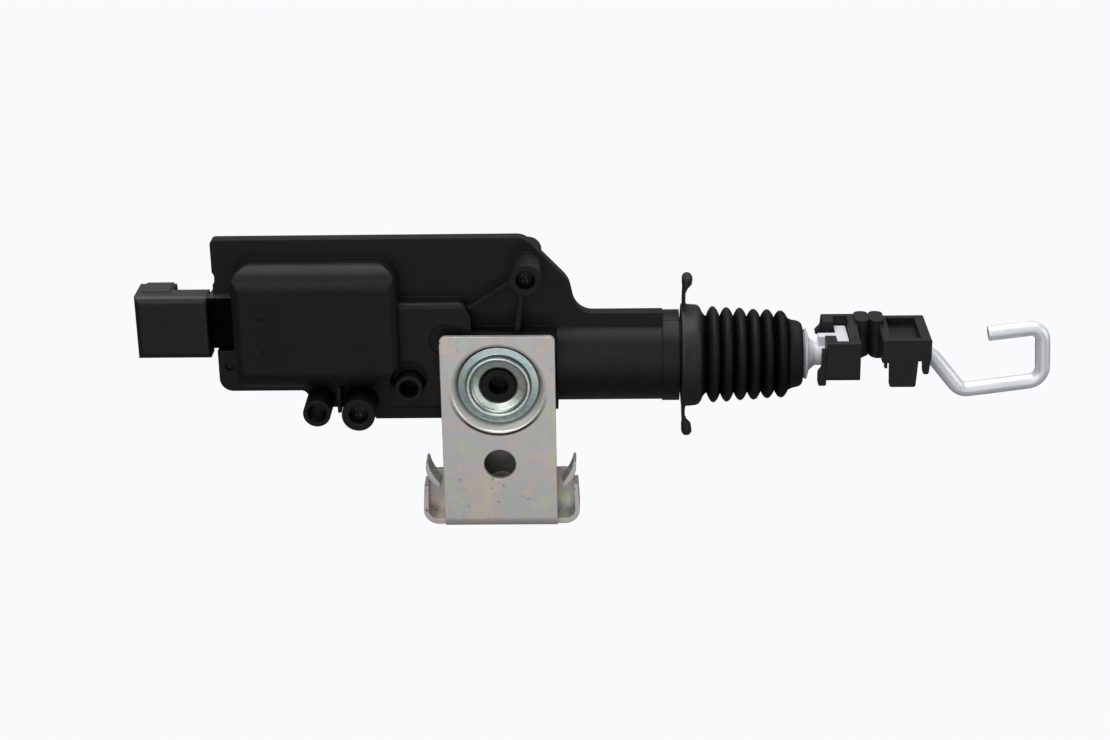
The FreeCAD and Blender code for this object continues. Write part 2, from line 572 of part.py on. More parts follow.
def rear_housing():
    body = prism_y(flange_corners(), PARTING, FLANGE_BACK)
    motor_shell = prism_x([(PARTING, BULGE_BOTTOM, 0), (CASE_BACK, BULGE_BOTTOM, BULGE_ROUND),
                           (CASE_BACK, BULGE_TOP - 0.4, BULGE_ROUND), (PARTING, BULGE_TOP, 0)],
                          BULGE_LEFT, BULGE_RIGHT + 1)
    crown_reach = CROWN_RIM_R + LAYER_GAP + WALL
    upper = prism_x([(PARTING, GEAR_CASE_BOTTOM, 0), (DISC_BACK + LAYER_GAP + WALL, GEAR_CASE_BOTTOM, 2.0),
                     (DISC_BACK + LAYER_GAP + WALL, CROWN_Z + crown_reach, 2.0), (PARTING, CROWN_Z + crown_reach, 0)],
                    BULGE_RIGHT, CROWN_X + crown_reach)
    wheel_reach = WHEEL_PITCH_R + DRIVE_MODULE + LAYER_GAP + WALL
    lower = prism_y([(CROWN_X - 8.0, WHEEL_Z - wheel_reach, 2.5), (CROWN_X - 8.0, WHEEL_Z + wheel_reach + 1.0, 2.5),
                     (WHEEL_X + wheel_reach, WHEEL_Z + wheel_reach + 1.0, 11.0),
                     (WHEEL_X + wheel_reach, WHEEL_Z - wheel_reach, 4.0)], PARTING, CASE_BACK)
    neck_shell = prism_y([(FLANGE_LEFT, SOCKET_BOTTOM - 1.2, 0), (FLANGE_LEFT, SOCKET_TOP + 1.4, 0),
                          (BULGE_LEFT + 1, SOCKET_TOP + 1.4, 0), (BULGE_LEFT + 1, SOCKET_BOTTOM - 1.2, 0)],
                         PARTING, NECK_FRONT + NECK_DEPTH + WALL)
    body = body.fuse(motor_shell).fuse(upper).fuse(lower).fuse(neck_shell).fuse(tube_half(False))
    for spec in (BOSS_LEFT, BOSS_SCREW_LOW, BOSS_SCREW_TOP):
        body = body.fuse(rear_boss(spec, BOSS_REAR_R))
    back = box(-90, 90, PARTING, 60, -20, 60)
    motor_room = prism_x([(PARTING - 1, BULGE_BOTTOM + WALL, 0), (INNER_BACK, BULGE_BOTTOM + WALL, 2.4),
                          (INNER_BACK, BULGE_TOP - WALL, 2.4), (PARTING - 1, BULGE_TOP - WALL, 0)],
                         BULGE_LEFT + WALL, BULGE_RIGHT - WALL)
    reach = CROWN_RIM_R + LAYER_GAP
    crown_room = rod_y(CROWN_X, CROWN_Z, reach, PARTING - 1, DISC_BACK + LAYER_GAP)
    pinion_room = rod_y(CROWN_X, CROWN_Z, PINION_PITCH_R + DRIVE_MODULE + LAYER_GAP, PARTING, INNER_BACK)
    wheel_room = rod_y(WHEEL_X, WHEEL_Z, WHEEL_PITCH_R + DRIVE_MODULE + LAYER_GAP, PINION_BACK, INNER_BACK)
    small_room = rod_y(WHEEL_X, WHEEL_Z, PINION_PITCH_R + DRIVE_MODULE + LAYER_GAP, PARTING - 1, INNER_BACK)
    shaft_room = box(BULGE_RIGHT - WALL - 0.1, CROWN_X - CROWN_INNER_R + 4, PARTING - 1, MOTOR_Y + 4.2,
                     MOTOR_Z - 4.2, MOTOR_Z + 4.2)
    for room in (motor_room, crown_room, pinion_room, wheel_room, small_room, shaft_room):
        body = body.cut(room)
    # bulkhead that holds the motor's nose
    bulkhead = box(MOTOR_RIGHT + FREE, MOTOR_RIGHT + NOSE_LENGTH, PARTING, INNER_BACK + 0.5,
                   BULGE_BOTTOM + 1, BULGE_TOP - 1)
    slot = box(MOTOR_RIGHT, BULGE_RIGHT, PARTING - 1, MOTOR_Y, MOTOR_Z - NOSE_R - 0.1, MOTOR_Z + NOSE_R + 0.1)
    bulkhead = bulkhead.cut(slot).cut(rod_x(MOTOR_Y, MOTOR_Z, NOSE_R + 0.1, MOTOR_RIGHT, BULGE_RIGHT))
    body = body.fuse(bulkhead)
    body = body.cut(rod_bores().common(back)).cut(rack_channel().common(back)).cut(neck_slot().common(back))
    strip_room = box(NECK_RIGHT - 1, BULGE_LEFT + WALL + 1, PARTING - 1, NECK_FRONT + NECK_DEPTH,
                     SOCKET_BOTTOM + 2.0, SOCKET_TOP - 2.0)
    body = body.cut(strip_room)
    for x, z in ((CROWN_X, CROWN_Z), (WHEEL_X, WHEEL_Z)):
        body = body.fuse(rod_y(x, z, AXLE_R + HUB_WALL, WHEEL_BACK + 0.2, CASE_BACK))
        body = body.cut(rod_y(x, z, AXLE_R + AXLE_FIT, WHEEL_BACK - 1, CASE_BACK - 0.6))
    for spec in (BOSS_SCREW_LOW, BOSS_SCREW_TOP):
        body = body.cut(rod_y(spec[0], spec[1], SCREW_R + SCREW_FIT, PARTING - 1, spec[4] + SCREW_SINK + SCREW_LENGTH + 2.2))
    body = body.cut(rod_y(BOSS_LEFT[0], BOSS_LEFT[1], BOSS_LEFT[3], PARTING - 1, BOSS_LEFT[5] + 1))
    body = body.fuse(rod_y(PEG_X, PEG_Z, PEG_R, FLANGE_FRONT + 0.6, PARTING + 0.5))
    save("rear_housing", body)


def case_screws():
    screws = []
    for spec in (BOSS_SCREW_LOW, BOSS_SCREW_TOP):
        x, z, outer, hole, front, back = spec
        top = front + SCREW_SINK
        head = turned_y([(top + 0.35, 0, 0), (top, 0.9, 0), (top + 0.5, SCREW_HEAD_R, 0),
                         (top + SCREW_HEAD_T, SCREW_HEAD_R, 0), (top + SCREW_HEAD_T, 0, 0)], x, z)
        slot = box(x - 1.3, x + 1.3, top - 0.5, top + 0.9, z - 0.25, z + 0.25)
        cross = box(x - 0.25, x + 0.25, top - 0.5, top + 0.9, z - 1.3, z + 1.3)
        shank = rod_y(x, z, SCREW_R, top + SCREW_HEAD_T - 0.1, top + SCREW_LENGTH)
        tip = Part.makeCone(SCREW_R, 0.3, 1.6, V(x, top + SCREW_LENGTH, z), V(0, 1, 0))
        screws.append(head.cut(slot).cut(cross).fuse(shank).fuse(tip))
    save("case_screws", Part.makeCompound(screws))


# Bracket
def bracket():
    half = PLATE_WIDTH / 2
    outer_r = BEND_INNER_R + SHEET
    leg_half = half + LEG_OVERHANG
    plate = prism_y([(-half, PLATE_BOTTOM + outer_r, 0), (-half, PLATE_TOP, PLATE_CORNER),
                     (half, PLATE_TOP, PLATE_CORNER), (half, PLATE_BOTTOM + outer_r, 0)], 0, SHEET)
    trough = prism_x([(0, PLATE_BOTTOM + outer_r, 0), (0, PLATE_BOTTOM, outer_r), (LEG_BACK, PLATE_BOTTOM, outer_r),
                      (LEG_BACK, PLATE_BOTTOM + outer_r, 0), (LEG_FRONT, PLATE_BOTTOM + outer_r, 0),
                      (LEG_FRONT, PLATE_BOTTOM + SHEET, BEND_INNER_R), (SHEET, PLATE_BOTTOM + SHEET, BEND_INNER_R),
                      (SHEET, PLATE_BOTTOM + outer_r, 0)], -half, half)
    leg = prism_y([(-half, PLATE_BOTTOM + outer_r, 0), (-leg_half, PLATE_BOTTOM + outer_r, 0),
                   (-leg_half, LEG_TOP, 1.0), (-TONGUE_WIDTH / 2, LEG_TOP, 1.0),
                   (-TONGUE_WIDTH / 2, TONGUE_TOP, 2.0), (TONGUE_WIDTH / 2, TONGUE_TOP, 2.0),
                   (TONGUE_WIDTH / 2, LEG_TOP, 1.0), (leg_half, LEG_TOP, 1.0),
                   (leg_half, PLATE_BOTTOM + outer_r, 0), (half, PLATE_BOTTOM + outer_r, 0)],
                  LEG_FRONT, LEG_BACK)
    body = plate.fuse(trough).fuse(leg)
    for side in (-1, 1):
        body = body.fuse(upper_ear(side, leg_half)).fuse(lower_wing(side, half))
    # round dish pressed back into the plate, with a hole for the eyelet
    rim = DISH_RIM_R + SHEET + 0.3
    dish = turned_y([(0, 0, 0), (0, rim, 0), (SHEET, rim, 0), (SHEET, DISH_RIM_R + 1.05, 0.2),
                     (SEAT_Y, DISH_FLOOR_R + 1.05, 1.3), (SEAT_Y, 0, 0)], 0, EYELET_Z)
    hollow = turned_y([(-0.5, 0, 0), (-0.5, rim - 0.05, 0), (0, rim - 0.05, 0), (0, DISH_RIM_R, 0.6),
                       (DISH_DEPTH, DISH_FLOOR_R, 0.3), (DISH_DEPTH, 0, 0)], 0, EYELET_Z)
    body = body.cut(rod_y(0, EYELET_Z, rim - 0.01, -1, SHEET + 1)).fuse(dish).cut(hollow)
    body = body.cut(rod_y(0, EYELET_Z, DISH_HOLE_R, -1, SEAT_Y + 1))
    body = body.cut(rod_y(0, 0, FIXING_HOLE_R, -1, SHEET + 1))
    body = body.cut(rod_y(0, PRESS_MARK_Z, PRESS_MARK_R, LEG_FRONT - 1, LEG_FRONT + PRESS_MARK_DEPTH))
    # the one pressed sheet is two solids that meet face to face between the fixing hole and the dish
    above = box(-2 * half, 2 * half, -1, LEG_BACK + 1, PLATE_JOINT_Z, PLATE_TOP + 1)
    save("bracket", Part.makeCompound([body.cut(above), body.common(above)]))


def upper_ear(side, leg_half):
    """A horn that curls out and up from the side of the rear leg."""
    root_x = leg_half - 1.6
    tip_x = leg_half + EAR_OVERHANG
    outer = [V(side * root_x, 0, EAR_ROOT_Z - 1.0), V(side * (tip_x - 0.6), 0, EAR_ROOT_Z + 1.4),
             V(side * tip_x, 0, EAR_TOP)]
    inner = [V(side * (tip_x - 0.5), 0, EAR_TOP), V(side * (tip_x - 1.7), 0, EAR_ROOT_Z + 1.9),
             V(side * root_x, 0, EAR_ROOT_Z + 0.2)]
    edges = [Part.Arc(outer[0], outer[1], outer[2]).toShape(), Part.makeLine(outer[2], inner[0]),
             Part.Arc(inner[0], inner[1], inner[2]).toShape(), Part.makeLine(inner[2], outer[0])]
    face = Part.Face(Part.Wire(edges))
    face.translate(V(0, LEG_BACK - EAR_DEPTH, 0))
    return face.extrude(V(0, EAR_DEPTH, 0))


def lower_wing(side, half):
    """The floor of the U carried out sideways and curled up."""
    front = SHEET + BEND_INNER_R
    back = LEG_FRONT + 0.3
    low = PLATE_BOTTOM
    reach = half + WING_OVERHANG
    corners = [(half - 0.5, low, 0), (reach, low, WING_BEND_R), (reach - 0.5, WING_TOP, 0),
               (reach - 0.5 - SHEET * 0.8, WING_TOP, 0), (reach - SHEET, low + SHEET, WING_BEND_R - SHEET),
               (half - 0.5, low + SHEET, 0)]
    wing = prism_y([(side * x, z, r) for x, z, r in corners], front, back)
    # the rear leg widens here and closes the wing's back
    web = [(half - 1.0, low + BEND_INNER_R + SHEET, 0), (half - 1.0, WING_TOP - 0.6, 0),
           (reach - 0.8, WING_TOP - 0.6, 1.2), (reach - 0.8, low + 0.7, WING_BEND_R - 0.8), (half + 0.4, low + 0.7, 0)]
    return wing.fuse(prism_y([(side * x, z, r) for x, z, r in web], LEG_FRONT, LEG_BACK))


def bracket_eyelet():
    bore = EYELET_BORE_R
    tube = bore + EYELET_WALL
    top = DISH_DEPTH - EYELET_FLANGE_T
    corners = [(EYELET_MOUTH_Y + 0.3, bore, 0), (EYELET_MOUTH_Y, bore + 0.5, 0.3),
               (EYELET_CREST_Y + 1.0, EYELET_CREST_R - 0.9, 0.9), (EYELET_CREST_Y, EYELET_CREST_R - 0.35, 0.2),
               (EYELET_CREST_Y, EYELET_CREST_R + 0.1, 0.12), (top - 0.1, EYELET_CREST_R + 0.45, 0.2),
               (top, EYELET_FLANGE_R, 0), (DISH_DEPTH, EYELET_FLANGE_R, 0),
               (DISH_DEPTH, tube, 0), (SEAT_Y + 1.3, tube, 0), (SEAT_Y + 1.3, bore, 0)]
    save("bracket_eyelet", turned_y(corners, 0, EYELET_Z))


# Motor
def flat_sided(radius, flat, x0, x1):
    round_part = rod_x(MOTOR_Y, MOTOR_Z, radius, x0, x1)
    return round_part.common(box(x0, x1, MOTOR_Y - flat, MOTOR_Y + flat, MOTOR_Z - 30, MOTOR_Z + 30))


def motor_parts():
    can_left = MOTOR_LEFT + BELL_T
    can = flat_sided(MOTOR_R, MOTOR_FLAT, can_left, MOTOR_RIGHT)
    can = can.fuse(rod_x(MOTOR_Y, MOTOR_Z, NOSE_R, MOTOR_RIGHT - 0.1, MOTOR_RIGHT + NOSE_LENGTH))
    can = can.cut(flat_sided(MOTOR_R - CAN_WALL, MOTOR_FLAT - CAN_WALL, can_left - 1, MOTOR_RIGHT - CAN_WALL))
    can = can.cut(rod_x(MOTOR_Y, MOTOR_Z, SHAFT_R + RUNNING, MOTOR_RIGHT - 3, MOTOR_RIGHT + NOSE_LENGTH + 1))
    save("motor_can", can)

    bell = flat_sided(MOTOR_R, MOTOR_FLAT, MOTOR_LEFT, can_left)
    bell = bell.fuse(flat_sided(MOTOR_R - CAN_WALL - 0.05, MOTOR_FLAT - CAN_WALL - 0.05, can_left - 0.1,
                                can_left + BELL_PLUG))
    bell = bell.cut(rod_x(MOTOR_Y, MOTOR_Z, 7.0, MOTOR_LEFT + 1.2, can_left + BELL_PLUG + 1))
    bell = bell.fuse(rod_x(MOTOR_Y, MOTOR_Z, 2.4, MOTOR_LEFT + 0.6, MOTOR_LEFT + 1.9))
    bell = bell.cut(rod_x(MOTOR_Y, MOTOR_Z, SHAFT_R + RUNNING, MOTOR_LEFT + 0.5, can_left + 3))
    save("motor_end_bell", bell)

    magnet_r = MOTOR_R - CAN_WALL - 0.05
    rotor_left = can_left + 5.6
    rotor_right = rotor_left + ROTOR_LENGTH
    sleeve = ring_x(MOTOR_Y, MOTOR_Z, magnet_r - MAGNET_T, magnet_r, rotor_left - 1.0, rotor_right + 1.0)
    reach = 20.0
    spread = reach * math.tan(math.radians(MAGNET_SPAN / 2))
    magnets = []
    for side in (-1, 1):
        wedge = prism_x([(MOTOR_Y, MOTOR_Z, 0), (MOTOR_Y - spread, MOTOR_Z + side * reach, 0),
                         (MOTOR_Y + spread, MOTOR_Z + side * reach, 0)], rotor_left - 2, rotor_right + 2)
        flats = box(-90, 0, MOTOR_Y - MOTOR_FLAT + CAN_WALL + 0.05, MOTOR_Y + MOTOR_FLAT - CAN_WALL - 0.05,
                    MOTOR_Z - 30, MOTOR_Z + 30)
        magnets.append(sleeve.common(wedge).common(flats))
    save("motor_magnets", Part.makeCompound(magnets))

    core = rod_x(MOTOR_Y, MOTOR_Z, ROTOR_R, rotor_left, rotor_right)
    coils = rod_x(MOTOR_Y, MOTOR_Z, ROTOR_R - 1.3, rotor_left - COIL_T, rotor_left)
    coils = coils.fuse(rod_x(MOTOR_Y, MOTOR_Z, ROTOR_R - 1.3, rotor_right, rotor_right + COIL_T))
    for k in range(3):
        slot = box(rotor_left - 5, rotor_right + 5, MOTOR_Y - SLOT_W / 2, MOTOR_Y + SLOT_W / 2,
                   MOTOR_Z + HUB_R, MOTOR_Z + ROTOR_R + 1)
        slot.rotate(V(0, MOTOR_Y, MOTOR_Z), V(1, 0, 0), 120 * k)
        core = core.cut(slot)
        coils = coils.cut(slot)
    core = core.cut(rod_x(MOTOR_Y, MOTOR_Z, SHAFT_R, rotor_left - 1, rotor_right + 1))
    coils = coils.cut(rod_x(MOTOR_Y, MOTOR_Z, HUB_R - 0.6, rotor_left - 9, rotor_right + 9))
    save("rotor_core", core)
    save("rotor_windings", coils)

    drum_right = rotor_left - COIL_T - 0.3
    drum_left = drum_right - COMMUTATOR_L
    drum = ring_x(MOTOR_Y, MOTOR_Z, SHAFT_R, COMMUTATOR_R, drum_left, drum_right)
    for k in range(3):
        gap = box(drum_left - 1, drum_right + 1, MOTOR_Y - 0.2, MOTOR_Y + 0.2, MOTOR_Z + COMMUTATOR_R - 0.6,
                  MOTOR_Z + COMMUTATOR_R + 1)
        gap.rotate(V(0, MOTOR_Y, MOTOR_Z), V(1, 0, 0), 120 * k + 60)
        drum = drum.cut(gap)
    save("commutator", drum)

    brushes = []
    for side in (-1, 1):
        z_in = MOTOR_Z + side * (COMMUTATOR_R + 0.1)
        z_out = MOTOR_Z + side * (COMMUTATOR_R + 2.6)
        arm_z = MOTOR_Z + side * (COMMUTATOR_R + 3.2)
        block = box(drum_left + 0.4, drum_right - 0.4, MOTOR_Y - BRUSH_W / 2, MOTOR_Y + BRUSH_W / 2,
                    min(z_in, z_out), max(z_in, z_out))
        arm = box(MOTOR_LEFT + 1.2, drum_right - 0.4, MOTOR_Y - BRUSH_W / 2, MOTOR_Y + BRUSH_W / 2,
                  min(z_out, arm_z), max(z_out, arm_z))
        brushes.append(block.fuse(arm))
    save("motor_brushes", Part.makeCompound(brushes))

    pinion_left = CROWN_X - CROWN_OUTER_R - 0.8
    pinion_right = CROWN_X - CROWN_INNER_R + 0.4
    save("motor_shaft", rod_x(MOTOR_Y, MOTOR_Z, SHAFT_R, MOTOR_LEFT + 0.9, pinion_right + 0.4))
    pinion = spur_gear_x(MOTOR_TEETH, MOTOR_Y, MOTOR_Z, pinion_left, pinion_right, 180.0 / MOTOR_TEETH)
    save("motor_pinion", pinion.cut(rod_x(MOTOR_Y, MOTOR_Z, SHAFT_R, pinion_left - 1, pinion_right + 1)))


# Gears
def crown_tooth(angle):
    """One ridge of the face gear, a radial bar with sloping flanks."""
    slope = math.tan(math.radians(PRESSURE_ANGLE))
    half = (math.pi * MOTOR_MODULE / 2 - 2 * BACKLASH_HALF) / 2
    tip = half - MOTOR_ADDENDUM * slope
    root = half + (CROWN_ROOT_Y - MOTOR_Y - MOTOR_PITCH_R) * slope
    points = [V(CROWN_INNER_R, CROWN_TIP_Y, -tip), V(CROWN_INNER_R, CROWN_TIP_Y, tip),
              V(CROWN_INNER_R, CROWN_ROOT_Y, root), V(CROWN_INNER_R, CROWN_ROOT_Y + 0.3, root),
              V(CROWN_INNER_R, CROWN_ROOT_Y + 0.3, -root), V(CROWN_INNER_R, CROWN_ROOT_Y, -root)]
    solid = Part.Face(Part.makePolygon(points + points[:1])).extrude(V(CROWN_FACE, 0, 0))
    solid.rotate(V(0, 0, 0), V(0, 1, 0), angle)
    solid.translate(V(CROWN_X, 0, CROWN_Z))
    return solid


def gears():
    hub_r = AXLE_R + HUB_WALL
    crown = ring_y(CROWN_X, CROWN_Z, CROWN_INNER_R - 0.6, CROWN_RIM_R, CROWN_ROOT_Y, DISC_FRONT + 0.1)
    crown = crown.fuse(rod_y(CROWN_X, CROWN_Z, CROWN_RIM_R, DISC_FRONT, DISC_BACK))
    crown = crown.fuse(rod_y(CROWN_X, CROWN_Z, hub_r, PARTING + 0.2, DISC_FRONT + 0.1))
    crown = crown.multiFuse([crown_tooth(180.0 + 360.0 * k / CROWN_TEETH) for k in range(CROWN_TEETH)])
    phase = MESH_ANGLE + 180.0 / PINION_TEETH
    crown = crown.fuse(spur_gear_y(PINION_TEETH, CROWN_X, CROWN_Z, DISC_BACK, WHEEL_BACK, phase))
    for k in range(6):
        hole = rod_y(CROWN_X + 6.0, CROWN_Z, 1.5, DISC_FRONT - 1, DISC_BACK + 1)
        hole.rotate(V(CROWN_X, 0, CROWN_Z), V(0, 1, 0), 60 * k)
        crown = crown.cut(hole)
    save("crown_gear", crown.cut(rod_y(CROWN_X, CROWN_Z, AXLE_R + AXLE_FIT, PARTING - 1, INNER_BACK + 1)))

    wheel = spur_gear_y(WHEEL_TEETH, WHEEL_X, WHEEL_Z, WHEEL_FRONT, WHEEL_BACK, MESH_ANGLE + 180.0)
    wheel = wheel.fuse(rod_y(WHEEL_X, WHEEL_Z, hub_r, PINION_FRONT - 0.2, WHEEL_BACK))
    phase = -90.0 + 180.0 / PINION_TEETH
    wheel = wheel.fuse(spur_gear_y(PINION_TEETH, WHEEL_X, WHEEL_Z, PINION_FRONT, PINION_BACK, phase))
    save("output_gear", wheel.cut(rod_y(WHEEL_X, WHEEL_Z, AXLE_R + AXLE_FIT, PARTING - 1, INNER_BACK + 1)))

    for name, x, z in (("crown_gear_axle", CROWN_X, CROWN_Z), ("output_gear_axle", WHEEL_X, WHEEL_Z)):
        save(name, rod_y(x, z, AXLE_R, PARTING - 3.3, CASE_BACK - 0.7))


# Output rod, its bush and its stops
def rack_corners():
    pitch = math.pi * DRIVE_MODULE
    slope = math.tan(math.radians(PRESSURE_ANGLE))
    half = (math.pi * DRIVE_MODULE / 2 - BACKLASH_HALF) / 2
    tip_half = half - DRIVE_MODULE * slope
    root_half = half + 1.25 * DRIVE_MODULE * slope
    tip_z = RACK_PITCH_Z + DRIVE_MODULE
    root_z = RACK_PITCH_Z - 1.25 * DRIVE_MODULE
    first = -int((WHEEL_X - RACK_REST_LEFT) / pitch)
    last = int((RACK_REST_RIGHT - WHEEL_X) / pitch)
    corners = [(RACK_REST_LEFT, RACK_FLOOR, 0), (RACK_REST_LEFT, root_z, 0)]
    for k in range(first, last + 1):
        x = WHEEL_X + k * pitch
        corners += [(x - root_half, root_z, 0), (x - tip_half, tip_z, 0), (x + tip_half, tip_z, 0),
                    (x + root_half, root_z, 0)]
    corners += [(RACK_REST_RIGHT + 1.4, root_z, 0), (SHOULDER_LEFT + 1.0, root_z, 0),
                (SHOULDER_LEFT + 1.0, RACK_FLOOR, 0)]
    return corners


def plunger():
    rack = prism_y(rack_corners(), PINION_FRONT - 0.1, PINION_FRONT + RACK_BACK)
    neck_start = DISC_X + END_DISC_T
    corners = [(SHOULDER_LEFT, 0, 0), (SHOULDER_LEFT, SHOULDER_R, 0.4), (SHOULDER_LEFT + SHOULDER_T, SHOULDER_R, 0.4),
               (SHOULDER_LEFT + SHOULDER_T, ROD_R, 0), (DISC_X, ROD_R, 0), (DISC_X, END_DISC_R, 0.4),
               (neck_start, END_DISC_R, 0.4), (neck_start + 0.5, NECK_R + 1.2, 0.6), (neck_start + 1.8, NECK_R, 0.8),
               (HEAD_LEFT + 1.0, NECK_R, 0), (HEAD_LEFT + 1.0, 0, 0)]
    body = rack.fuse(turned_x(corners, ROD_Y, ROD_Z))
    front = ROD_Y - HEAD_WIDTH / 2
    back = ROD_Y + HEAD_WIDTH / 2
    head = prism_x([(front, HEAD_BOTTOM, 0.6), (front, HEAD_TOP, 0.6), (back, HEAD_TOP, 0.6),
                    (back, HEAD_BOTTOM, 0.6)], HEAD_LEFT, HEAD_RIGHT)
    # upright rib on the neck, which reaches up into the clip's entry
    rib = box(neck_start + 2.6, HEAD_LEFT + 0.5, ROD_Y - 1.2, ROD_Y + 1.2, ROD_Z, HEAD_TOP)
    save("plunger", body.fuse(head).fuse(rib))


def guides_and_stops():
    right = SPIGOT_RIGHT - FREE
    save("rod_guide_bush", ring_x(ROD_Y, ROD_Z, ROD_R + RUNNING, BUSH_R, right - BUSH_LENGTH, right))
    start = SHOULDER_LEFT + SHOULDER_T + STROKE_OUT + STOP_GAP
    save("extend_bumper", ring_x(ROD_Y, ROD_Z, ROD_R + FREE, SHOULDER_BORE_R, start, start + BUMPER_T))
    end = RACK_REST_LEFT - STROKE_IN - STOP_GAP
    save("retract_bumper", box(end - BUMPER_T, end, PINION_FRONT - 0.5, PINION_FRONT + RACK_BACK + 0.2,
                               RACK_FLOOR - 0.2, RACK_PITCH_Z + 2.2))


# Bellows boot
def boot_outline(wall):
    """Outer line of the boot for wall 0, inner line for the wall thickness."""
    line = []
    for k in range(BOOT_PEAKS):
        share = k / (BOOT_PEAKS - 1)
        x = BOOT_FIRST_PEAK + k * BOOT_PITCH
        peak = BOOT_PEAK_R + (BOOT_PEAK_END_R - BOOT_PEAK_R) * share - wall
        valley = BOOT_VALLEY_R + (BOOT_VALLEY_END_R - BOOT_VALLEY_R) * share - wall
        line.append((x - 0.35 * BOOT_PITCH if k == 0 else x - BOOT_PITCH / 2, valley, 0.35))
        line.append((x, peak, 0.6 if wall == 0 else 0.3))
    line.append((CUFF_LEFT - 0.2, BOOT_VALLEY_END_R - 0.2 - wall, 0.3))
    return line


def boot():
    ring_inner = SPIGOT_R + 0.05
    outer = [(BOOT_RING_LEFT, ring_inner, 0), (BOOT_RING_LEFT, BOOT_RING_R, 0.6), (BOOT_RING_RIGHT - 1.0, BOOT_RING_R, 0.8),
             (BOOT_RING_RIGHT, BOOT_RING_R - 0.9, 0.4)]
    outer += boot_outline(0)
    outer += [(CUFF_LEFT + 0.4, CUFF_R, 0.3), (CUFF_RIGHT - 0.6, CUFF_R - 0.3, 0.5), (CUFF_RIGHT, CUFF_R - 1.2, 0.3),
              (CUFF_RIGHT, ROD_R + FREE, 0)]
    inner = [(CUFF_LEFT + 0.6, ROD_R + FREE, 0)] + list(reversed(boot_outline(BOOT_WALL)))
    inner += [(BOOT_RING_RIGHT, ring_inner, 0)]
    body = turned_x(outer + inner, ROD_Y, ROD_Z)
    # two thin pull tabs with a bead at the end
    for side in (-1, 1):
        root = ROD_Z + side * (BOOT_RING_R - 1.0)
        end = ROD_Z + side * (BOOT_RING_R + TAB_HEIGHT)
        x0 = BOOT_RING_LEFT
        tab = box(x0, x0 + TAB_T, ROD_Y - TAB_W / 2, ROD_Y + TAB_W / 2, min(root, end), max(root, end))
        bead = rod_y(x0 + TAB_BULB_R, end - side * TAB_BULB_R, TAB_BULB_R, ROD_Y - TAB_W / 2, ROD_Y + TAB_W / 2)
        body = body.fuse(tab).fuse(bead)
    save("bellows_boot", body)


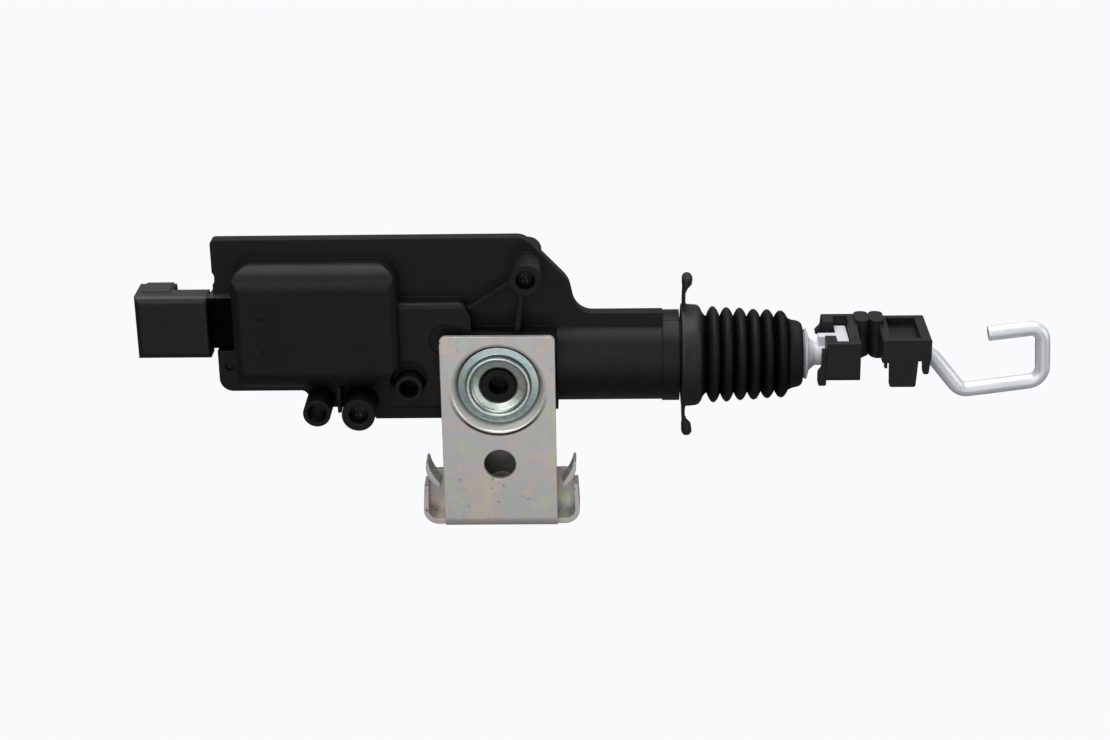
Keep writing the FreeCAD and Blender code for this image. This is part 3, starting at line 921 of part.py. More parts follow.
# Connector
def connector():
    shell = prism_z([(SOCKET_LEFT, SOCKET_FRONT, 1.2), (SOCKET_RIGHT, SOCKET_FRONT, 0.6),
                     (SOCKET_RIGHT, SOCKET_FRONT + NECK_DEPTH, 0), (SOCKET_FLOOR + 1.4, SOCKET_FRONT + NECK_DEPTH, 0),
                     (SOCKET_FLOOR + 1.4, SOCKET_BACK, 0), (SOCKET_LEFT, SOCKET_BACK, 1.2)], SOCKET_BOTTOM, SOCKET_TOP)
    soft = prism_x([(SOCKET_FRONT, SOCKET_BOTTOM, 1.4), (SOCKET_FRONT, SOCKET_TOP, 1.4),
                    (SOCKET_BACK, SOCKET_TOP, 1.4), (SOCKET_BACK, SOCKET_BOTTOM, 1.4)], SOCKET_LEFT, SOCKET_RIGHT)
    ramp_y = (SOCKET_FRONT + SOCKET_BACK) / 2
    ramp = prism_y([(RAMP_LEFT, SOCKET_TOP - 0.5, 0), (RAMP_LEFT, SOCKET_TOP, 0),
                    (RAMP_LEFT + 0.8, SOCKET_TOP + RAMP_RISE, 0.3), (RAMP_RIGHT, SOCKET_TOP + RAMP_RISE, 0.15),
                    (RAMP_RIGHT, SOCKET_TOP - 0.5, 0)], ramp_y - 1.6, SOCKET_BACK - 1.4)
    # roof over the recess between the socket and the motor bulge
    roof = box(SOCKET_RIGHT - 0.5, BULGE_LEFT - 0.05, SOCKET_FRONT + 0.4, FLANGE_FRONT - 0.02,
               SOCKET_TOP - 2.0, SOCKET_TOP - 0.25)
    neck = box(SOCKET_RIGHT - 0.5, NECK_RIGHT, NECK_FRONT, NECK_FRONT + NECK_DEPTH, SOCKET_BOTTOM + 0.7,
               SOCKET_TOP - 1.9)
    bridge = box(SOCKET_FLOOR, SOCKET_RIGHT, SOCKET_FRONT + NECK_DEPTH - 0.5, NECK_FRONT + NECK_DEPTH,
                 SOCKET_BOTTOM + 2.4, SOCKET_TOP - 2.4)
    body = shell.common(soft).fuse(ramp).fuse(neck).fuse(bridge).fuse(roof)
    body = body.cut(box(SOCKET_LEFT - 1, SOCKET_FLOOR, SOCKET_FRONT + SOCKET_WALL, SOCKET_BACK - SOCKET_WALL,
                        SOCKET_BOTTOM + SOCKET_WALL, SOCKET_TOP - SOCKET_WALL))
    mid_y = (SOCKET_FRONT + SOCKET_BACK) / 2
    mid_z = (SOCKET_BOTTOM + SOCKET_TOP) / 2
    blades = []
    for side in (-1, 1):
        z = mid_z + side * BLADE_SPACING / 2
        strip_y = NECK_FRONT + NECK_DEPTH / 2
        blade = box(BLADE_TIP, SOCKET_RIGHT - 2, mid_y - BLADE_T / 2, mid_y + BLADE_T / 2, z - BLADE_W / 2, z + BLADE_W / 2)
        step = box(SOCKET_RIGHT - 3, SOCKET_RIGHT - 2, min(mid_y, strip_y) - BLADE_T / 2, max(mid_y, strip_y) + BLADE_T / 2,
                   z - BLADE_W / 2, z + BLADE_W / 2)
        strip = box(SOCKET_RIGHT - 3, MOTOR_LEFT - 0.05, strip_y - BLADE_T / 2, strip_y + BLADE_T / 2,
                    z - BLADE_W / 2, z + BLADE_W / 2)
        chamfer = prism_z([(BLADE_TIP - 1, mid_y - 1, 0), (BLADE_TIP - 1, mid_y + 1, 0), (BLADE_TIP, mid_y + 1, 0),
                           (BLADE_TIP, mid_y + 0.2, 0), (BLADE_TIP - 0.01, mid_y - 0.2, 0), (BLADE_TIP, mid_y - 1, 0)],
                          z - 3, z + 3)
        blades.append(blade.fuse(step).fuse(strip).cut(chamfer))
    room = Part.makeCompound(blades)
    body = body.cut(room)
    save("connector_body", body)
    save("connector_blades", room)


# Rod clip
def clip():
    floor = HEAD_BOTTOM - 0.4
    inner_front = ROD_Y - HEAD_WIDTH / 2 - 0.2
    inner_back = ROD_Y + HEAD_WIDTH / 2 + 0.2
    # box around the hammer head, lower at the front than at the back
    body = prism_x([(CLIP_FRONT, CLIP_BOTTOM - 0.9, 1.0), (CLIP_FRONT, FRONT_WALL_TOP, 0.3),
                    (inner_front + 3.0, FRONT_WALL_TOP, 0), (inner_back - 3.0, BACK_WALL_TOP, 0),
                    (CLIP_BACK, BACK_WALL_TOP, 0.4), (CLIP_BACK, CLIP_BOTTOM - 0.9, 1.0)], CLIP_LEFT, HEAD_BOX_RIGHT)
    body = body.cut(box(HEAD_LEFT - 0.3, HEAD_RIGHT + 0.3, inner_front, inner_back, floor, BACK_WALL_TOP + 1))
    entry = NECK_R + 0.4
    body = body.cut(box(CLIP_LEFT - 1, HEAD_LEFT + 1, ROD_Y - entry, ROD_Y + entry, ROD_Z, BACK_WALL_TOP + 1))
    body = body.cut(rod_x(ROD_Y, ROD_Z, entry, CLIP_LEFT - 1, HEAD_LEFT + 1))
    # lug at the back and a curved snap arm at the front, both beside the neck
    lug = prism_y([(CLIP_LEFT + 0.3, BACK_WALL_TOP - 0.2, 0), (CLIP_LEFT + 0.3, 23.6, 0), (CLIP_LEFT - 1.7, 23.6, 0.2),
                   (CLIP_LEFT - 0.3, 25.2, 0.6), (CLIP_LEFT - 0.1, BACK_WALL_TOP - 0.2, 0)], CLIP_BACK - 2.6, CLIP_BACK)
    arm_front = CLIP_FRONT + 0.3
    arm = prism_y([(CLIP_LEFT + 0.5, 24.2, 0), (CLIP_LEFT - 0.9, 24.2, 0.4), (CLIP_LEFT - 0.9, 20.0, 0.3),
                   (CLIP_LEFT - 1.7, 18.8, 0.3), (CLIP_LEFT - 1.7, 16.2, 0.4), (CLIP_LEFT + 0.1, 16.2, 0.4),
                   (CLIP_LEFT + 0.1, 18.4, 0.2), (CLIP_LEFT + 0.5, 18.8, 0)], arm_front, arm_front + 2.6)
    body = body.fuse(lug).fuse(arm)
    # springy web near the back, scooped from both sides
    middle = (HEAD_BOX_RIGHT + BOX_LEFT) / 2 + 0.4
    web = box(HEAD_BOX_RIGHT - 0.2, BOX_LEFT + 1.3, WEB_FRONT, CLIP_BACK, WEB_BOTTOM, WEB_TOP)
    arch = rod_y(middle - 0.4, WEB_BOTTOM - 1.2, 2.3, WEB_FRONT - 3, CLIP_BACK + 1)
    web = web.cut(Part.makeCylinder(2.3, 30, V(middle, CLIP_BACK + 1.6, 10), V(0, 0, 1)))
    # two upright ridges side by side, which stand above the walls
    for x in (middle - 1.65, middle + 1.65):
        ridge = [(x - 1.6, WEB_FRONT - 1.6, 1.5), (x - 1.6, CLIP_BACK - 0.2, 1.5),
                 (x + 1.6, CLIP_BACK - 0.2, 1.5), (x + 1.6, WEB_FRONT - 1.6, 1.5)]
        web = web.fuse(prism_z(ridge, WEB_BOTTOM + 0.8, WEB_TOP + 1.0))
    web = web.cut(arch)
    body = body.fuse(web)
    # box that holds the wire, open above, with legs below
    wire_box = prism_y([(BOX_LEFT, BOX_BOTTOM, 0.5), (BOX_LEFT, BOX_TOP, 0.3), (BOX_RIGHT, BOX_TOP, 0.3),
                        (BOX_RIGHT, BOX_BOTTOM, 0.2)], CLIP_FRONT, CLIP_BACK)
    body = body.fuse(wire_box)
    for front in (CLIP_FRONT, CLIP_BACK - CLIP_WALL):
        leg = prism_y([(WINDOW_LEFT - 0.5, BOX_BOTTOM + 1, 0), (WINDOW_LEFT - 0.3, LEG_BOTTOM, 0.5),
                       (WINDOW_RIGHT - 1.0, LEG_BOTTOM, 0.5), (WINDOW_RIGHT - 0.5, BOX_BOTTOM + 1, 0)],
                      front, front + CLIP_WALL)
        latch = prism_y([(BOX_RIGHT - 2.1, BOX_BOTTOM + 1, 0), (BOX_RIGHT - 1.8, LATCH_BOTTOM, 0.5),
                         (BOX_RIGHT - 0.5, LATCH_BOTTOM, 0.5), (BOX_RIGHT - 0.1, BOX_BOTTOM + 1, 0)],
                        front, front + CLIP_WALL)
        stub = box(BOX_LEFT + 0.5, BOX_LEFT + 1.1, front, front + CLIP_WALL, BOX_BOTTOM - 1.6, BOX_BOTTOM + 1)
        body = body.fuse(leg).fuse(latch).fuse(stub)
    body = body.cut(box(WINDOW_LEFT, WINDOW_RIGHT, CLIP_FRONT + CLIP_WALL, CLIP_BACK - CLIP_WALL, FLOOR_TOP, BOX_TOP + 1))
    swing = HOOK_SWING_ROOM
    body = body.cut(box(WINDOW_LEFT - 0.6, BOX_RIGHT + 1, ROD_Y - swing, ROD_Y + swing, LEG_BOTTOM - 1, FLOOR_BOTTOM))
    body = body.cut(Part.makeCylinder(WIRE_R + RUNNING, 10, V(WIRE_TAIL_X, ROD_Y, TAIL_TOP + 0.05 - 10), V(0, 0, 1)))
    save("rod_clip", body)



# Hook wire
def wire_path():
    """Corners of the wire's centre line and the radius of each bend."""
    return [
        (V(WIRE_TAIL_X, ROD_Y, TAIL_TOP), 0),
        (V(WIRE_TAIL_X, ROD_Y, WIRE_RUN_Z), 1.9),
        (V(96.8, ROD_Y, WIRE_RUN_Z), 3.0),
        (V(103.9, ROD_Y, 11.9), 3.0),
        (V(122.3, ROD_Y, 14.3), 3.4),
        (V(121.6, ROD_Y, 27.0), 2.8),
        (V(109.5, ROD_Y, 25.5), 0),
    ]


def hook():
    path = wire_path()
    edges = []
    last = path[0][0]
    for i in range(1, len(path) - 1):
        corner, radius = path[i]
        before = path[i - 1][0] - corner
        after = path[i + 1][0] - corner
        before.normalize()
        after.normalize()
        half = before.getAngle(after) / 2
        run = radius / math.tan(half)
        middle = before + after
        middle.normalize()
        centre = corner + middle * (radius / math.sin(half))
        start = corner + before * run
        end = corner + after * run
        edges.append(Part.makeLine(last, start))
        edges.append(Part.Arc(start, centre - middle * radius, end).toShape())
        last = end
    edges.append(Part.makeLine(last, path[-1][0]))
    spine = Part.Wire(edges)
    section = Part.Wire(Part.makeCircle(WIRE_R, path[0][0], V(0, 0, 1)))
    body = spine.makePipeShell([section], True, True)
    length = sum(edge.Length for edge in edges)
    print("wire length", round(length, 2), "volume over section", round(body.Volume / (math.pi * WIRE_R ** 2), 2))
    save("hook_wire", body)


front_cover()
rear_housing()
case_screws()
bracket()
bracket_eyelet()
motor_parts()
gears()
plunger()
guides_and_stops()
boot()
connector()
clip()
hook()
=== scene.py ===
# %% [markdown]
# # A door latch actuator
#
# This is the small linear actuator that locks and unlocks a vehicle door.
# A motor in the boxed part of a black nylon case turns a train of gears, and a rack pushes a rod out of
# the round tube on the right.
# A rubber bellows keeps water out, a black clip holds the rod's hammer head, and a bent wire reaches the latch.
#
# The solid model is already in the right place and size, so the scene starts by loading it as a fixed frame.

import math

import bmesh
import bpy
import numpy as np
from mathutils import Matrix, Vector


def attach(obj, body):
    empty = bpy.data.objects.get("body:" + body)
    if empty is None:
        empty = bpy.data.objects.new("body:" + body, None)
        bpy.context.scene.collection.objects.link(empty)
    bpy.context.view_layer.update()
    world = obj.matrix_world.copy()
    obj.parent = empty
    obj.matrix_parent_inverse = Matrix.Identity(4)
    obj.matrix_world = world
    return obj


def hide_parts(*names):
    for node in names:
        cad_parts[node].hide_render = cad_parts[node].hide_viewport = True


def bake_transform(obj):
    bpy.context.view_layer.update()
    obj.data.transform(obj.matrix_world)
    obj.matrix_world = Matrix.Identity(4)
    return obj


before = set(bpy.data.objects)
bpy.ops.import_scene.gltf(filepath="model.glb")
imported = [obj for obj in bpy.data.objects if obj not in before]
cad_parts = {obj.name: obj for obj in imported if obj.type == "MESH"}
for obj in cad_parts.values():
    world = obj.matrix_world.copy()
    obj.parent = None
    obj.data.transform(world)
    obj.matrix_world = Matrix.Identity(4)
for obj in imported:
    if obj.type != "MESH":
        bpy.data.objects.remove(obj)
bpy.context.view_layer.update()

# %% [markdown]
# ## Shared lengths
#
# All lengths are in metres. The origin is the centre of the bracket's fixing hole, on the front of the sheet.
# X runs along the rod towards the hook, Y runs into the part, and Z is up.
# The rod's axis runs along X, and the eyelet's axis runs along Y at X 0.

# %% Shared lengths
MILLIMETRE = 0.001
ROD_Y, ROD_Z = 0.0130, 0.0210
EYELET_Z = 0.0182

# %% [markdown]
# ## Camera
#
# The photograph looks down at the part by 22 degrees, almost square to its front, with a long lens from half a metre.
# A camera's matrix has three direction columns: its right, its up and its back. They come from the two angles,
# and a small roll turns the first two.

# %% Camera
TARGET = Vector((0.012686, 0.000270, 0.022623))
DISTANCE = 0.5
FOCAL_PIXELS = 2270.0
PHOTO_WIDTH = 1110.0
SENSOR_WIDTH = 36.0


def place_camera(azimuth, elevation, roll):
    """Puts the camera at TARGET + DISTANCE * back, where back = (sin a cos e, -cos a cos e, sin e)."""
    a, e, r = (math.radians(v) for v in (azimuth, elevation, roll))
    back = Vector((math.sin(a) * math.cos(e), -math.cos(a) * math.cos(e), math.sin(e)))
    level = Vector((math.cos(a), math.sin(a), 0.0))
    rise = back.cross(level)
    right = level * math.cos(r) - rise * math.sin(r)
    up = level * math.sin(r) + rise * math.cos(r)
    data = bpy.data.cameras.new("camera")
    data.sensor_width = SENSOR_WIDTH
    data.lens = FOCAL_PIXELS / PHOTO_WIDTH * SENSOR_WIDTH
    data.clip_start = 0.01
    data.clip_end = 20.0
    camera = bpy.data.objects.new("camera", data)
    turn = Matrix((right, up, back)).transposed().to_4x4()
    camera.matrix_world = Matrix.Translation(TARGET + back * DISTANCE) @ turn
    bpy.context.scene.collection.objects.link(camera)
    bpy.context.scene.camera = camera
    print("lens", round(data.lens, 2), "mm")


place_camera(azimuth=1.5, elevation=22.0, roll=1.0)
bpy.context.scene.view_settings.view_transform = "Standard"

# %% [markdown]
# ## Helpers for materials
#
# Colours are written as the hex values that a screen shows. Shaders work with linear light, so one function
# turns the first into the second.
# Another adds a node, sets its values and joins its links, which keeps every material short enough to read.
#
# Most patterns here are numbers from 0 to 1. A pattern can be stretched to another range, cut to a band between
# two edges, multiplied by a second pattern, or used to mix a colour in.


# %% Node helpers
def linear(code):
    """A #RRGGBB screen colour as linear light: c / 12.92 up to 0.04045, ((c + 0.055) / 1.055) ** 2.4 above."""
    parts = [int(code[i:i + 2], 16) / 255.0 for i in (1, 3, 5)]
    return tuple(c / 12.92 if c <= 0.04045 else ((c + 0.055) / 1.055) ** 2.4 for c in parts) + (1.0,)


def add_node(tree, kind, values=None, links=None, **settings):
    """Adds one shader node. values fills its inputs, links joins inputs to other nodes' outputs, and settings
    are its own properties."""
    node = tree.nodes.new(kind)
    for name, value in settings.items():
        setattr(node, name, value)
    for name, value in (values or {}).items():
        node.inputs[name].default_value = value
    for name, source in (links or {}).items():
        tree.links.new(source, node.inputs[name])
    return node


def new_material(name):
    """An empty node material with its output node, returned as (material, tree, output)."""
    material = bpy.data.materials.new(name)
    material.use_nodes = True
    tree = material.node_tree
    tree.nodes.clear()
    return material, tree, tree.nodes.new("ShaderNodeOutputMaterial")


# %% Places
def object_position(tree, scale=(1.0, 1.0, 1.0)):
    """The point in the part's own metres, stretched by the three factors."""
    point = add_node(tree, "ShaderNodeTexCoord").outputs["Object"]
    return add_node(tree, "ShaderNodeMapping", {"Scale": scale}, {"Vector": point}).outputs["Vector"]


def coordinate(tree, axis):
    """The X, Y or Z of the point, in metres."""
    return add_node(tree, "ShaderNodeSeparateXYZ", links={0: object_position(tree)}).outputs[axis]


def distance_from(tree, centre, direction):
    """Distance in metres from the line through centre that runs along X or Y. A factor of 0 flattens that axis."""
    flat = {"X": (0.0, 1.0, 1.0), "Y": (1.0, 0.0, 1.0)}[direction]
    return add_node(tree, "ShaderNodeVectorMath", {1: centre}, {0: object_position(tree, flat)},
                    operation="DISTANCE").outputs["Value"]


# %% Patterns
def noise(tree, vector, scale, detail=3.0, roughness=0.5):
    """Fractal noise. A scale of 1000 puts about one blob in each millimetre."""
    return add_node(tree, "ShaderNodeTexNoise", {"Scale": scale, "Detail": detail, "Roughness": roughness},
                    {"Vector": vector}).outputs["Fac"]


def between(tree, source, low, high, from_low=0.3, from_high=0.7):
    """Stretches from_low to from_high, the middle of a noise if they are not given, to the range low to high."""
    return add_node(tree, "ShaderNodeMapRange",
                    {"From Min": from_low, "From Max": from_high, "To Min": low, "To Max": high},
                    {"Value": source}).outputs["Result"]


def product(tree, first, second):
    """Two 0 to 1 patterns multiplied."""
    return add_node(tree, "ShaderNodeMath", links={0: first, 1: second}, operation="MULTIPLY",
                    use_clamp=True).outputs[0]


def rise(tree, value, edge):
    """0 before the edge, 1 after it. An edge is a (start, end) pair of lengths."""
    return between(tree, value, 0.0, 1.0, *edge)


def fall(tree, value, edge):
    """1 before the edge, 0 after it."""
    return between(tree, value, 1.0, 0.0, *edge)


def band(tree, value, edges):
    """1 between two edges, 0 outside them."""
    return product(tree, rise(tree, value, edges[0]), fall(tree, value, edges[1]))


# %% Colours
MIX_AMOUNT, MIX_FIRST, MIX_SECOND, MIX_RESULT = 0, 6, 7, 2


def ramp(tree, source, stops):
    """A colour ramp over (position, hex) stops."""
    node = add_node(tree, "ShaderNodeValToRGB", links={"Fac": source})
    while len(node.color_ramp.elements) < len(stops):
        node.color_ramp.elements.new(0.5)
    for element, (position, code) in zip(node.color_ramp.elements, stops):
        element.position = position
        element.color = linear(code)
    return node.outputs["Color"]


def mix_colour(tree, amount, colour, code):
    """colour where the amount pattern is 0, the hex code where it is 1."""
    return add_node(tree, "ShaderNodeMix", {MIX_SECOND: linear(code)}, {MIX_AMOUNT: amount, MIX_FIRST: colour},
                    data_type="RGBA").outputs[MIX_RESULT]


def blend(tree, amount, first, second, mode="MIX"):
    """Two colour patterns joined by one fixed amount: mixed, or multiplied with the mode MULTIPLY."""
    return add_node(tree, "ShaderNodeMix", {MIX_AMOUNT: amount}, {MIX_FIRST: first, MIX_SECOND: second},
                    data_type="RGBA", blend_type=mode).outputs[MIX_RESULT]


# %% [markdown]
# ## Moulded black nylon
#
# The case, the connector and the clip are glass-filled nylon, PA66 with carbon black, from a spark-eroded mould.
# That gives a very dark surface with a fine satin grain: it is never mirror smooth, and its edges catch
# a soft grey line of light.
# The real grain is about 0.05 mm. It is drawn at 0.35 mm so that it still shows at this distance.
#
# A Bevel node rounds the shading at the sharp corners of the solid model, as a mould's corners are: by 0.35 mm
# on the case, 0.3 mm on the clip and 0.9 mm on the connector, whose corners look softer.
# The connector's upper faces are painted greyer, as painted top light. Its narrow neck, which lies in the shadow
# between the socket and the case, is painted a shineless black as painted shade.

# %% Black nylon
# Near black that stands for painted shade, on the connector's neck and in the boot's valleys.
PAINTED_SHADE_BLACK = "#040405"
# Along X the connector's neck starts here, and from here on its sides carry painted shade.
NECK_SHADE_EDGE = (-0.0642, -0.0639)


def facing_up(tree):
    """1 on faces that look up, 0 on all others."""
    normal = add_node(tree, "ShaderNodeTexCoord").outputs["Normal"]
    upright = add_node(tree, "ShaderNodeSeparateXYZ", links={0: normal}).outputs["Z"]
    return rise(tree, upright, (0.70, 0.95))


def black_nylon(name, dark, light, roughness, grain, bevel, shine, painted_top_light=None):
    """Satin moulded plastic: colour drifts between two near blacks, with bump from fine grain over slow waviness.
    shine scales the reflection. The hex given for the upper faces paints them lighter as painted top light,
    and it also brings the neck's painted shade in near black."""
    material, tree, output = new_material(name)
    place = object_position(tree)
    cloud = noise(tree, place, 90.0, 4.0, 0.6)
    fine = noise(tree, place, 2800.0, 2.0, 0.6)
    colour = ramp(tree, cloud, [(0.30, dark), (0.72, light)])
    links = {}
    # Painted top light: faces that look up are mixed to a lighter hex. The neck's sides are mixed to near black as
    # painted shade.
    if painted_top_light:
        up = facing_up(tree)
        neck_shade = product(tree, rise(tree, coordinate(tree, "X"), NECK_SHADE_EDGE), fall(tree, up, (0.0, 1.0)))
        colour = mix_colour(tree, neck_shade, mix_colour(tree, up, colour, painted_top_light), PAINTED_SHADE_BLACK)
        links["Specular IOR Level"] = between(tree, neck_shade, shine, 0.02, 0.0, 1.0)
    rounded = add_node(tree, "ShaderNodeBevel", {"Radius": bevel}, samples=6).outputs["Normal"]
    wave = add_node(tree, "ShaderNodeBump", {"Strength": 0.25, "Distance": 0.0004},
                    {"Height": noise(tree, place, 160.0, 2.0), "Normal": rounded}).outputs["Normal"]
    links["Normal"] = add_node(tree, "ShaderNodeBump", {"Strength": grain, "Distance": 0.00008},
                               {"Height": fine, "Normal": wave}).outputs["Normal"]
    links["Base Color"] = colour
    links["Roughness"] = between(tree, fine, roughness - 0.05, roughness + 0.07)
    shader = add_node(tree, "ShaderNodeBsdfPrincipled", {"IOR": 1.53, "Specular IOR Level": shine}, links)
    tree.links.new(shader.outputs["BSDF"], output.inputs["Surface"])
    return material


case_nylon = black_nylon("moulded_black_nylon", "#100f12", "#161518", 0.42, 0.35, 0.00035, 0.18)
socket_nylon = black_nylon("socket_black_nylon", "#111014", "#17161a", 0.38, 0.30, 0.00090, 0.30, painted_top_light="#302f33")
clip_nylon = black_nylon("tough_black_nylon", "#161516", "#1d1b1c", 0.48, 0.40, 0.00030, 0.26)

# %% [markdown]
# ## Moulded rubber
#
# The bellows and the two bumpers are EPDM rubber, about as dark as the nylon.
# The thick ring is handled and has some sheen. The pleats are duller, and the valleys between them, found by
# their distance from the rod's axis, are painted almost black as painted shade.

# %% Rubber
PLEATS_START = (0.0452, 0.0460)
PLEATS_INSIDE = (0.0079, 0.0081)
VALLEY_SHADE_EDGE = (0.0090, 0.0103)
RING_END = (0.0448, 0.0462)
RING_SHEEN, PLEAT_SHEEN = 0.42, 0.17


def moulded_rubber(name):
    """Rough rubber: slow noise lifts the colour a little and roughens it further. The valleys between the pleats get
    painted shade in near black.
    """
    material, tree, output = new_material(name)
    place = object_position(tree)
    bloom = noise(tree, place, 260.0, 4.0, 0.65)
    colour = ramp(tree, bloom, [(0.30, "#111012"), (0.75, "#181719")])
    along = coordinate(tree, "X")
    around = distance_from(tree, (0.0, ROD_Y, ROD_Z), "X")
    pleats = product(tree, rise(tree, along, PLEATS_START), rise(tree, around, PLEATS_INSIDE))
    # Painted shade: the valleys between the pleats, near the rod's axis, are mixed to near black in the base colour.
    valley = product(tree, pleats, fall(tree, around, VALLEY_SHADE_EDGE))
    sheen = product(tree, between(tree, along, RING_SHEEN, PLEAT_SHEEN, *RING_END),
                    between(tree, valley, 1.0, 0.15, 0.0, 1.0))
    bump = add_node(tree, "ShaderNodeBump", {"Strength": 0.35, "Distance": 0.00012},
                    {"Height": noise(tree, place, 1500.0, 3.0, 0.6)})
    shader = add_node(tree, "ShaderNodeBsdfPrincipled", {"IOR": 1.50},
                      {"Base Color": mix_colour(tree, valley, colour, PAINTED_SHADE_BLACK), "Specular IOR Level": sheen,
                       "Roughness": between(tree, bloom, 0.50, 0.66), "Normal": bump.outputs["Normal"]})
    tree.links.new(shader.outputs["BSDF"], output.inputs["Surface"])
    return material


rubber = moulded_rubber("moulded_rubber")

# %% [markdown]
# ## Natural nylon
#
# The rod and the gears are undyed nylon: milky, slightly grey, a little see-through at thin edges.


# %% Natural nylon
def natural_nylon(name):
    """Milky plastic: pale grey-white with a trace of light passing under the surface."""
    material, tree, output = new_material(name)
    place = object_position(tree)
    colour = ramp(tree, noise(tree, place, 150.0, 3.0), [(0.3, "#d0d0d7"), (0.7, "#dbdbe1")])
    rounded = add_node(tree, "ShaderNodeBevel", {"Radius": 0.0003}, samples=6)
    bump = add_node(tree, "ShaderNodeBump", {"Strength": 0.15, "Distance": 0.0001},
                    {"Height": noise(tree, place, 900.0, 2.0), "Normal": rounded.outputs["Normal"]})
    shader = add_node(tree, "ShaderNodeBsdfPrincipled",
                      {"IOR": 1.53, "Roughness": 0.38, "Subsurface Weight": 0.15,
                       "Subsurface Radius": (0.001, 0.001, 0.001), "Subsurface Scale": 0.8},
                      {"Base Color": colour, "Normal": bump.outputs["Normal"]})
    tree.links.new(shader.outputs["BSDF"], output.inputs["Surface"])
    return material


white_nylon = natural_nylon("natural_nylon")

# %% [markdown]
# ## Zinc plated steel
#
# The bracket is pressed from 1.2 mm sheet and zinc plated, which leaves a warm, slightly cloudy grey with soft,
# wide reflections. Rolled sheet has faint lines along its length, and the thin passivation film over the zinc
# drifts between cream, green, grey and pink.
#
# Some marks belong to a place. The round dish's wall is made smoother and more metallic and is painted near white
# as a painted highlight, a painted shadow line runs under its lower half, and its floor round the rivet carries
# painted shade. Small brown stains sit in a few patches. Deep inside the bracket's U the sheet carries painted shade,
# and the edge of the round press mark in the rear leg carries a painted highlight.
#
# The eyelet is brighter and bluer, with painted shade in its grooves and a painted highlight on its rolled
# crest. The wire is drawn and plated, and is a cooler grey.

# %% Marks on the plated steel
# Edges are (start, end) pairs in metres: distances from the eyelet's axis for the dish,
# from the press mark's centre for its edge, and plain coordinates for the rest.
# The dish's wall band takes a painted highlight, the line band a painted shadow and the floor band painted shade.
DISH_WALL = (0.0088, 0.0090), (0.0103, 0.0105)
DISH_SHADOW_LINE = (0.01048, 0.01060), (0.01104, 0.01132)
DISH_FLOOR_SHADE = (0.0060, 0.0064), (0.0090, 0.0092)
LOWER_HALF = (0.0095, 0.0175)
# Where the inside of the U carries painted shade.
U_DEPTH = (0.0012, 0.0016), (0.0076, 0.0084)
U_SIDE = (0.0100, 0.0118)
U_TOP = (0.0020, 0.0040)
PRESS_MARK = (0.0, 0.0, -0.0089)
# The ring round the press mark where its edge carries a painted highlight.
PRESS_MARK_GLINT = (0.00322, 0.00332), (0.00362, 0.00372)
PRESS_MARK_DEPTH = (0.0066, 0.0070), (0.0084, 0.0087)
SHEET_JOINT = (0.00500, 0.00508), (0.00572, 0.00580)
BURNISHED_ROUGHNESS, BURNISHED_METAL = 0.27, 0.45


def from_eyelet(tree):
    """Distance in metres from the eyelet's axis."""
    return distance_from(tree, (0.0, 0.0, EYELET_Z), "Y")


def passivation(tree, place, colour, tints):
    """A film whose hexes follow each other over slow noise. It takes three quarters of the colour."""
    steps = np.linspace(0.32, 0.68, len(tints)).tolist()
    film = ramp(tree, noise(tree, place, 130.0, 3.0, 0.6), list(zip(steps, tints)))
    return blend(tree, 0.75, colour, film)


def eyelet_light_and_shade(tree, colour, light_and_shade_rings):
    """Multiplies the colour by (mm, hex) stops over the distance from the eyelet's axis: dark stops are painted
    shade in the grooves and white ones a painted highlight on the rolled crest. The ramp runs over 10 mm, so the
    distance in metres is taken 100 times."""
    share = add_node(tree, "ShaderNodeMath", {1: 100.0}, {0: from_eyelet(tree)}, operation="MULTIPLY").outputs[0]
    return blend(tree, 1.0, colour, ramp(tree, share, [(mm / 10.0, code) for mm, code in light_and_shade_rings]), "MULTIPLY")


def dish_painted_light(tree, colour, wall):
    """Painted light on the dish: its wall painted near white as a painted highlight, a painted shadow line under its
    lower half, and painted shade on the floor round the rivet.
    """
    away = from_eyelet(tree)
    line = product(tree, band(tree, away, DISH_SHADOW_LINE), fall(tree, coordinate(tree, "Z"), LOWER_HALF))
    # Painted highlight on the wall, painted shadow line under the lower half, painted shade on the floor.
    colour = mix_colour(tree, wall, colour, "#f1eee6")
    colour = mix_colour(tree, line, colour, "#35312d")
    return mix_colour(tree, band(tree, away, DISH_FLOOR_SHADE), colour, "#3a3836")


def small_stains(tree, place, colour):
    """Brown specks where a fine noise is high, but only inside the patches of a slow one."""
    spots = rise(tree, noise(tree, place, 900.0, 2.0, 0.5), (0.66, 0.70))
    patches = rise(tree, noise(tree, place, 60.0, 2.0, 0.5), (0.50, 0.60))
    return mix_colour(tree, product(tree, spots, patches), colour, "#6b5a4c")


def light_and_shade_in_the_bend(tree, colour):
    """Painted shade over the inside of the bracket's U, and a painted highlight on the edge of the press mark in its
    rear leg.
    """
    depth = coordinate(tree, "Y")
    sideways = add_node(tree, "ShaderNodeMath", links={0: coordinate(tree, "X")}, operation="ABSOLUTE").outputs[0]
    inside = product(tree, band(tree, depth, U_DEPTH), fall(tree, sideways, U_SIDE))
    inside = product(tree, inside, fall(tree, coordinate(tree, "Z"), U_TOP))
    edge = product(tree, band(tree, distance_from(tree, PRESS_MARK, "Y"), PRESS_MARK_GLINT),
                   band(tree, depth, PRESS_MARK_DEPTH))
    # 1a1918 is painted shade inside the U, and #f6f4ee a painted highlight on the press mark's edge.
    return mix_colour(tree, edge, mix_colour(tree, inside, colour, "#1a1918"), "#f6f4ee")


def flat_at_the_joint(tree, rounded):
    """The bevelled normal, but the true one at the height where the bracket's two solids meet in one flat sheet."""
    true = add_node(tree, "ShaderNodeNewGeometry").outputs["True Normal"]
    joint = band(tree, coordinate(tree, "Z"), SHEET_JOINT)
    return add_node(tree, "ShaderNodeMix", links={0: joint, 4: rounded, 5: true}, data_type="VECTOR").outputs[1]


